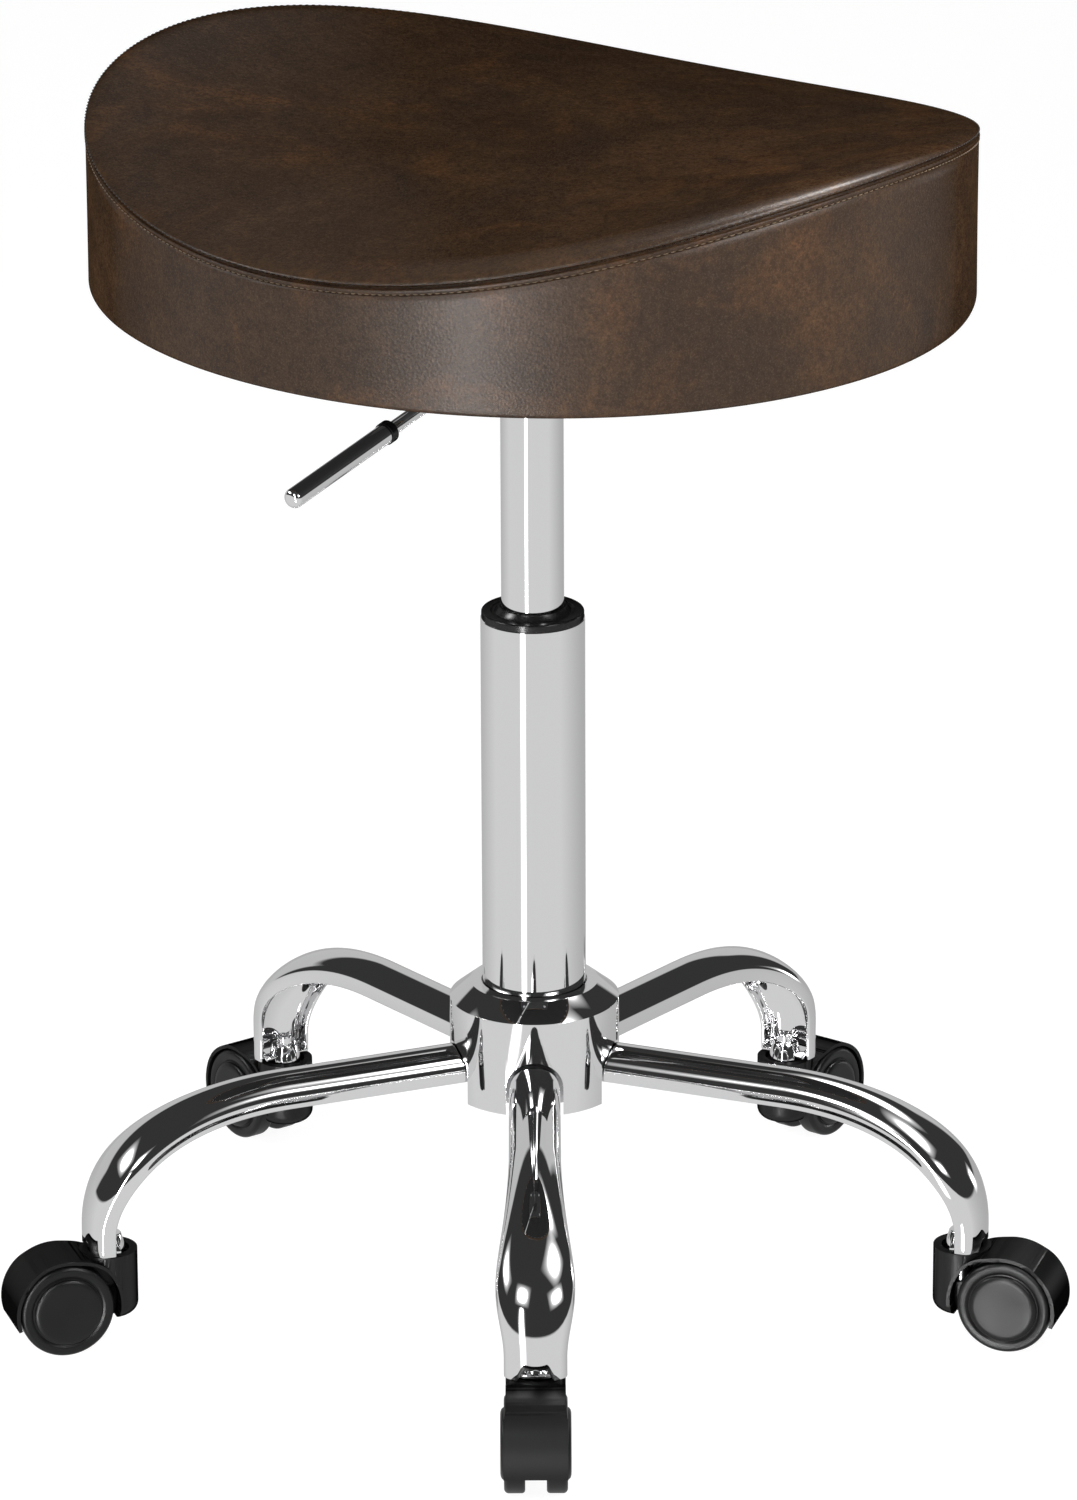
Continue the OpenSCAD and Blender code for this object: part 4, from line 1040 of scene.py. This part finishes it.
material = bpy.data.materials.new("white_paper")
material.use_nodes = True
tree = material.node_tree
tree.nodes.clear()
paint = add_node(tree, "ShaderNodeBsdfDiffuse", Color=(0.8, 0.8, 0.8, 1))
glow = add_node(tree, "ShaderNodeEmission", Strength=FLOOR_WHITE)
mix = add_node(tree, "ShaderNodeMixShader", Fac=FLOOR_SHARE)
tree.links.new(paint.outputs[0], mix.inputs[1])
tree.links.new(glow.outputs[0], mix.inputs[2])
end = add_node(tree, "ShaderNodeOutputMaterial")
tree.links.new(mix.outputs[0], end.inputs["Surface"])
half = FLOOR_HALF / MM
floor = add_piece("floor", [(-half, -half, 0), (half, -half, 0), (half, half, 0), (-half, half, 0)],
                  [(0, 1, 2, 3)], material)
floor.visible_glossy = floor.visible_diffuse = floor.visible_shadow = False

room = bpy.data.worlds.new("studio_room")
bpy.context.scene.world = room
room.use_nodes = True
tree = room.node_tree
tree.nodes.clear()
way = add_node(tree, "ShaderNodeTexCoord").outputs["Generated"]
parts = add_node(tree, "ShaderNodeSeparateXYZ")
tree.links.new(way, parts.inputs[0])
ground = spread(tree, along(tree, way, DIM_SIDE), -0.2, 1.0, GROUND_WHITE, GROUND_DIM)
below = spread(tree, parts.outputs["Z"], -0.02, 0.02, 1, 0)
over = calculate(tree, "SUBTRACT", parts.outputs["Z"],
                 calculate(tree, "MULTIPLY", parts.outputs["Y"], CARD_RISE))
flat = add_node(tree, "ShaderNodeVectorMath", operation="MULTIPLY")
tree.links.new(way, flat.inputs[0])
flat.inputs[1].default_value = (1, 1, 0)
level = add_node(tree, "ShaderNodeVectorMath", operation="NORMALIZE")
tree.links.new(flat.outputs["Vector"], level.inputs[0])
aside = spread(tree, along(tree, level.outputs["Vector"], CARD_MIDDLE),
               math.cos(math.radians(CARD_HALF + 2)), math.cos(math.radians(CARD_HALF - 2)),
               0, CARD_WHITE - CEILING)
card = calculate(tree, "MULTIPLY_ADD", spread(tree, over, -0.03, 0.03, 1, 0), aside, CEILING)
around = calculate(tree, "MULTIPLY_ADD", below, calculate(tree, "SUBTRACT", ground, card), card)
rays = add_node(tree, "ShaderNodeLightPath").outputs
backdrop = add_node(tree, "ShaderNodeBackground", Color=(1, 1, 1, 1))
seen = calculate(tree, "MULTIPLY_ADD", rays["Is Camera Ray"], calculate(tree, "SUBTRACT", 1, around), around)
tree.links.new(seen, backdrop.inputs["Strength"])
end = add_node(tree, "ShaderNodeOutputWorld")
tree.links.new(backdrop.outputs[0], end.inputs["Surface"])

# Lamps
# Softboxes left, right, in front and overhead, a tall strip box in front on the left and a small
# lamp behind on the right, with two glints that only gloss sees. Each has a bright core and a dimmer
# cloth that fades towards its edges, and the camera sees none of them.
LAMP_REACH = 3.0
CORE_POWER, CLOTH_GLOW = 8, 1.15
ARM_SPOT = Vector((0, -0.2, 0.09))


def softbox(name, azimuth, height, spans, core, distance=LAMP_REACH, target=Vector((0, 0, 0.12)),
            tall=CORE_POWER, lights=True):
    """A rectangular lamp that faces a target and is seen from it in a direction, over angles in degrees.

    Its glow is 1 in the middle and falls to 0 at the edges along each side, and a high power makes
    the core small."""
    a, e = math.radians(azimuth), math.radians(height)
    away = Vector((math.cos(e) * math.cos(a), math.cos(e) * math.sin(a), math.sin(e)))
    lamp = bpy.data.lights.new(name, "AREA")
    lamp.shape = "RECTANGLE"
    lamp.size, lamp.size_y = [2 * distance * math.tan(math.radians(span / 2)) for span in spans]
    lamp.energy = math.pi * lamp.size * lamp.size_y
    lamp.use_nodes = True
    tree = lamp.node_tree
    tree.nodes.clear()
    across = add_node(tree, "ShaderNodeSeparateXYZ")
    tree.links.new(add_node(tree, "ShaderNodeNewGeometry").outputs["Parametric"], across.inputs[0])
    middles, cores = [], []
    for axis, power in (("X", CORE_POWER), ("Y", tall)):
        other = calculate(tree, "MULTIPLY_ADD", across.outputs[axis], -4, 4)
        middles.append(calculate(tree, "MULTIPLY", across.outputs[axis], other))
        cores.append(calculate(tree, "POWER", middles[-1], power))
    cloth = calculate(tree, "MULTIPLY", calculate(tree, "MULTIPLY", *middles), CLOTH_GLOW)
    glow = add_node(tree, "ShaderNodeEmission")
    bright = calculate(tree, "MULTIPLY_ADD", calculate(tree, "MULTIPLY", *cores), core, cloth)
    tree.links.new(bright, glow.inputs["Strength"])
    end = add_node(tree, "ShaderNodeOutputLight")
    tree.links.new(glow.outputs[0], end.inputs["Surface"])
    holder = bpy.data.objects.new(name, lamp)
    holder.location = target + distance * away
    holder.rotation_euler = away.to_track_quat("Z", "Y").to_euler()
    holder.visible_camera, holder.visible_diffuse = False, lights
    bpy.context.scene.collection.objects.link(holder)


softbox("left_softbox", 186, 37, (48, 21), 36)
softbox("overhead_softbox", -20, 58, (46, 32), 28, 1.0, ARM_SPOT)
softbox("right_softbox", -50, 31, (33, 20), 34)
softbox("front_softbox", -113, 36, (24, 21), 50)
softbox("strip_box", -112, -6, (14, 62), 20, tall=0.5)
softbox("strip_glint", -112, -8, (11, 50), 42, tall=0.5, lights=False)
softbox("back_glint", 52, 60, (44, 26), 80, lights=False)
softbox("low_lamp", 31, 2, (14, 14), 30)

# Camera
# It stands 3.9 m in front and looks down by 20 degrees, with a long lens and a slight roll.
CAMERA_PLACE = (0.0025, -3.868, 1.6908)
CAMERA_DOWN, CAMERA_ROLL = 20.078, -0.0040
PIXEL_FOCUS, IMAGE_H = 8595, 1500
SENSOR = 36.0

camera = bpy.data.cameras.new("camera")
camera.sensor_fit = "VERTICAL"
camera.sensor_height = SENSOR
camera.lens = PIXEL_FOCUS / IMAGE_H * SENSOR
camera.clip_end = 60
viewer = bpy.data.objects.new("camera", camera)
tilt = Matrix.Rotation(math.radians(90 - CAMERA_DOWN), 4, "X")
viewer.matrix_world = Matrix.Translation(CAMERA_PLACE) @ tilt @ Matrix.Rotation(CAMERA_ROLL, 4, "Z")
bpy.context.scene.collection.objects.link(viewer)
bpy.context.scene.camera = viewer
bpy.context.scene.view_settings.view_transform = "Standard"
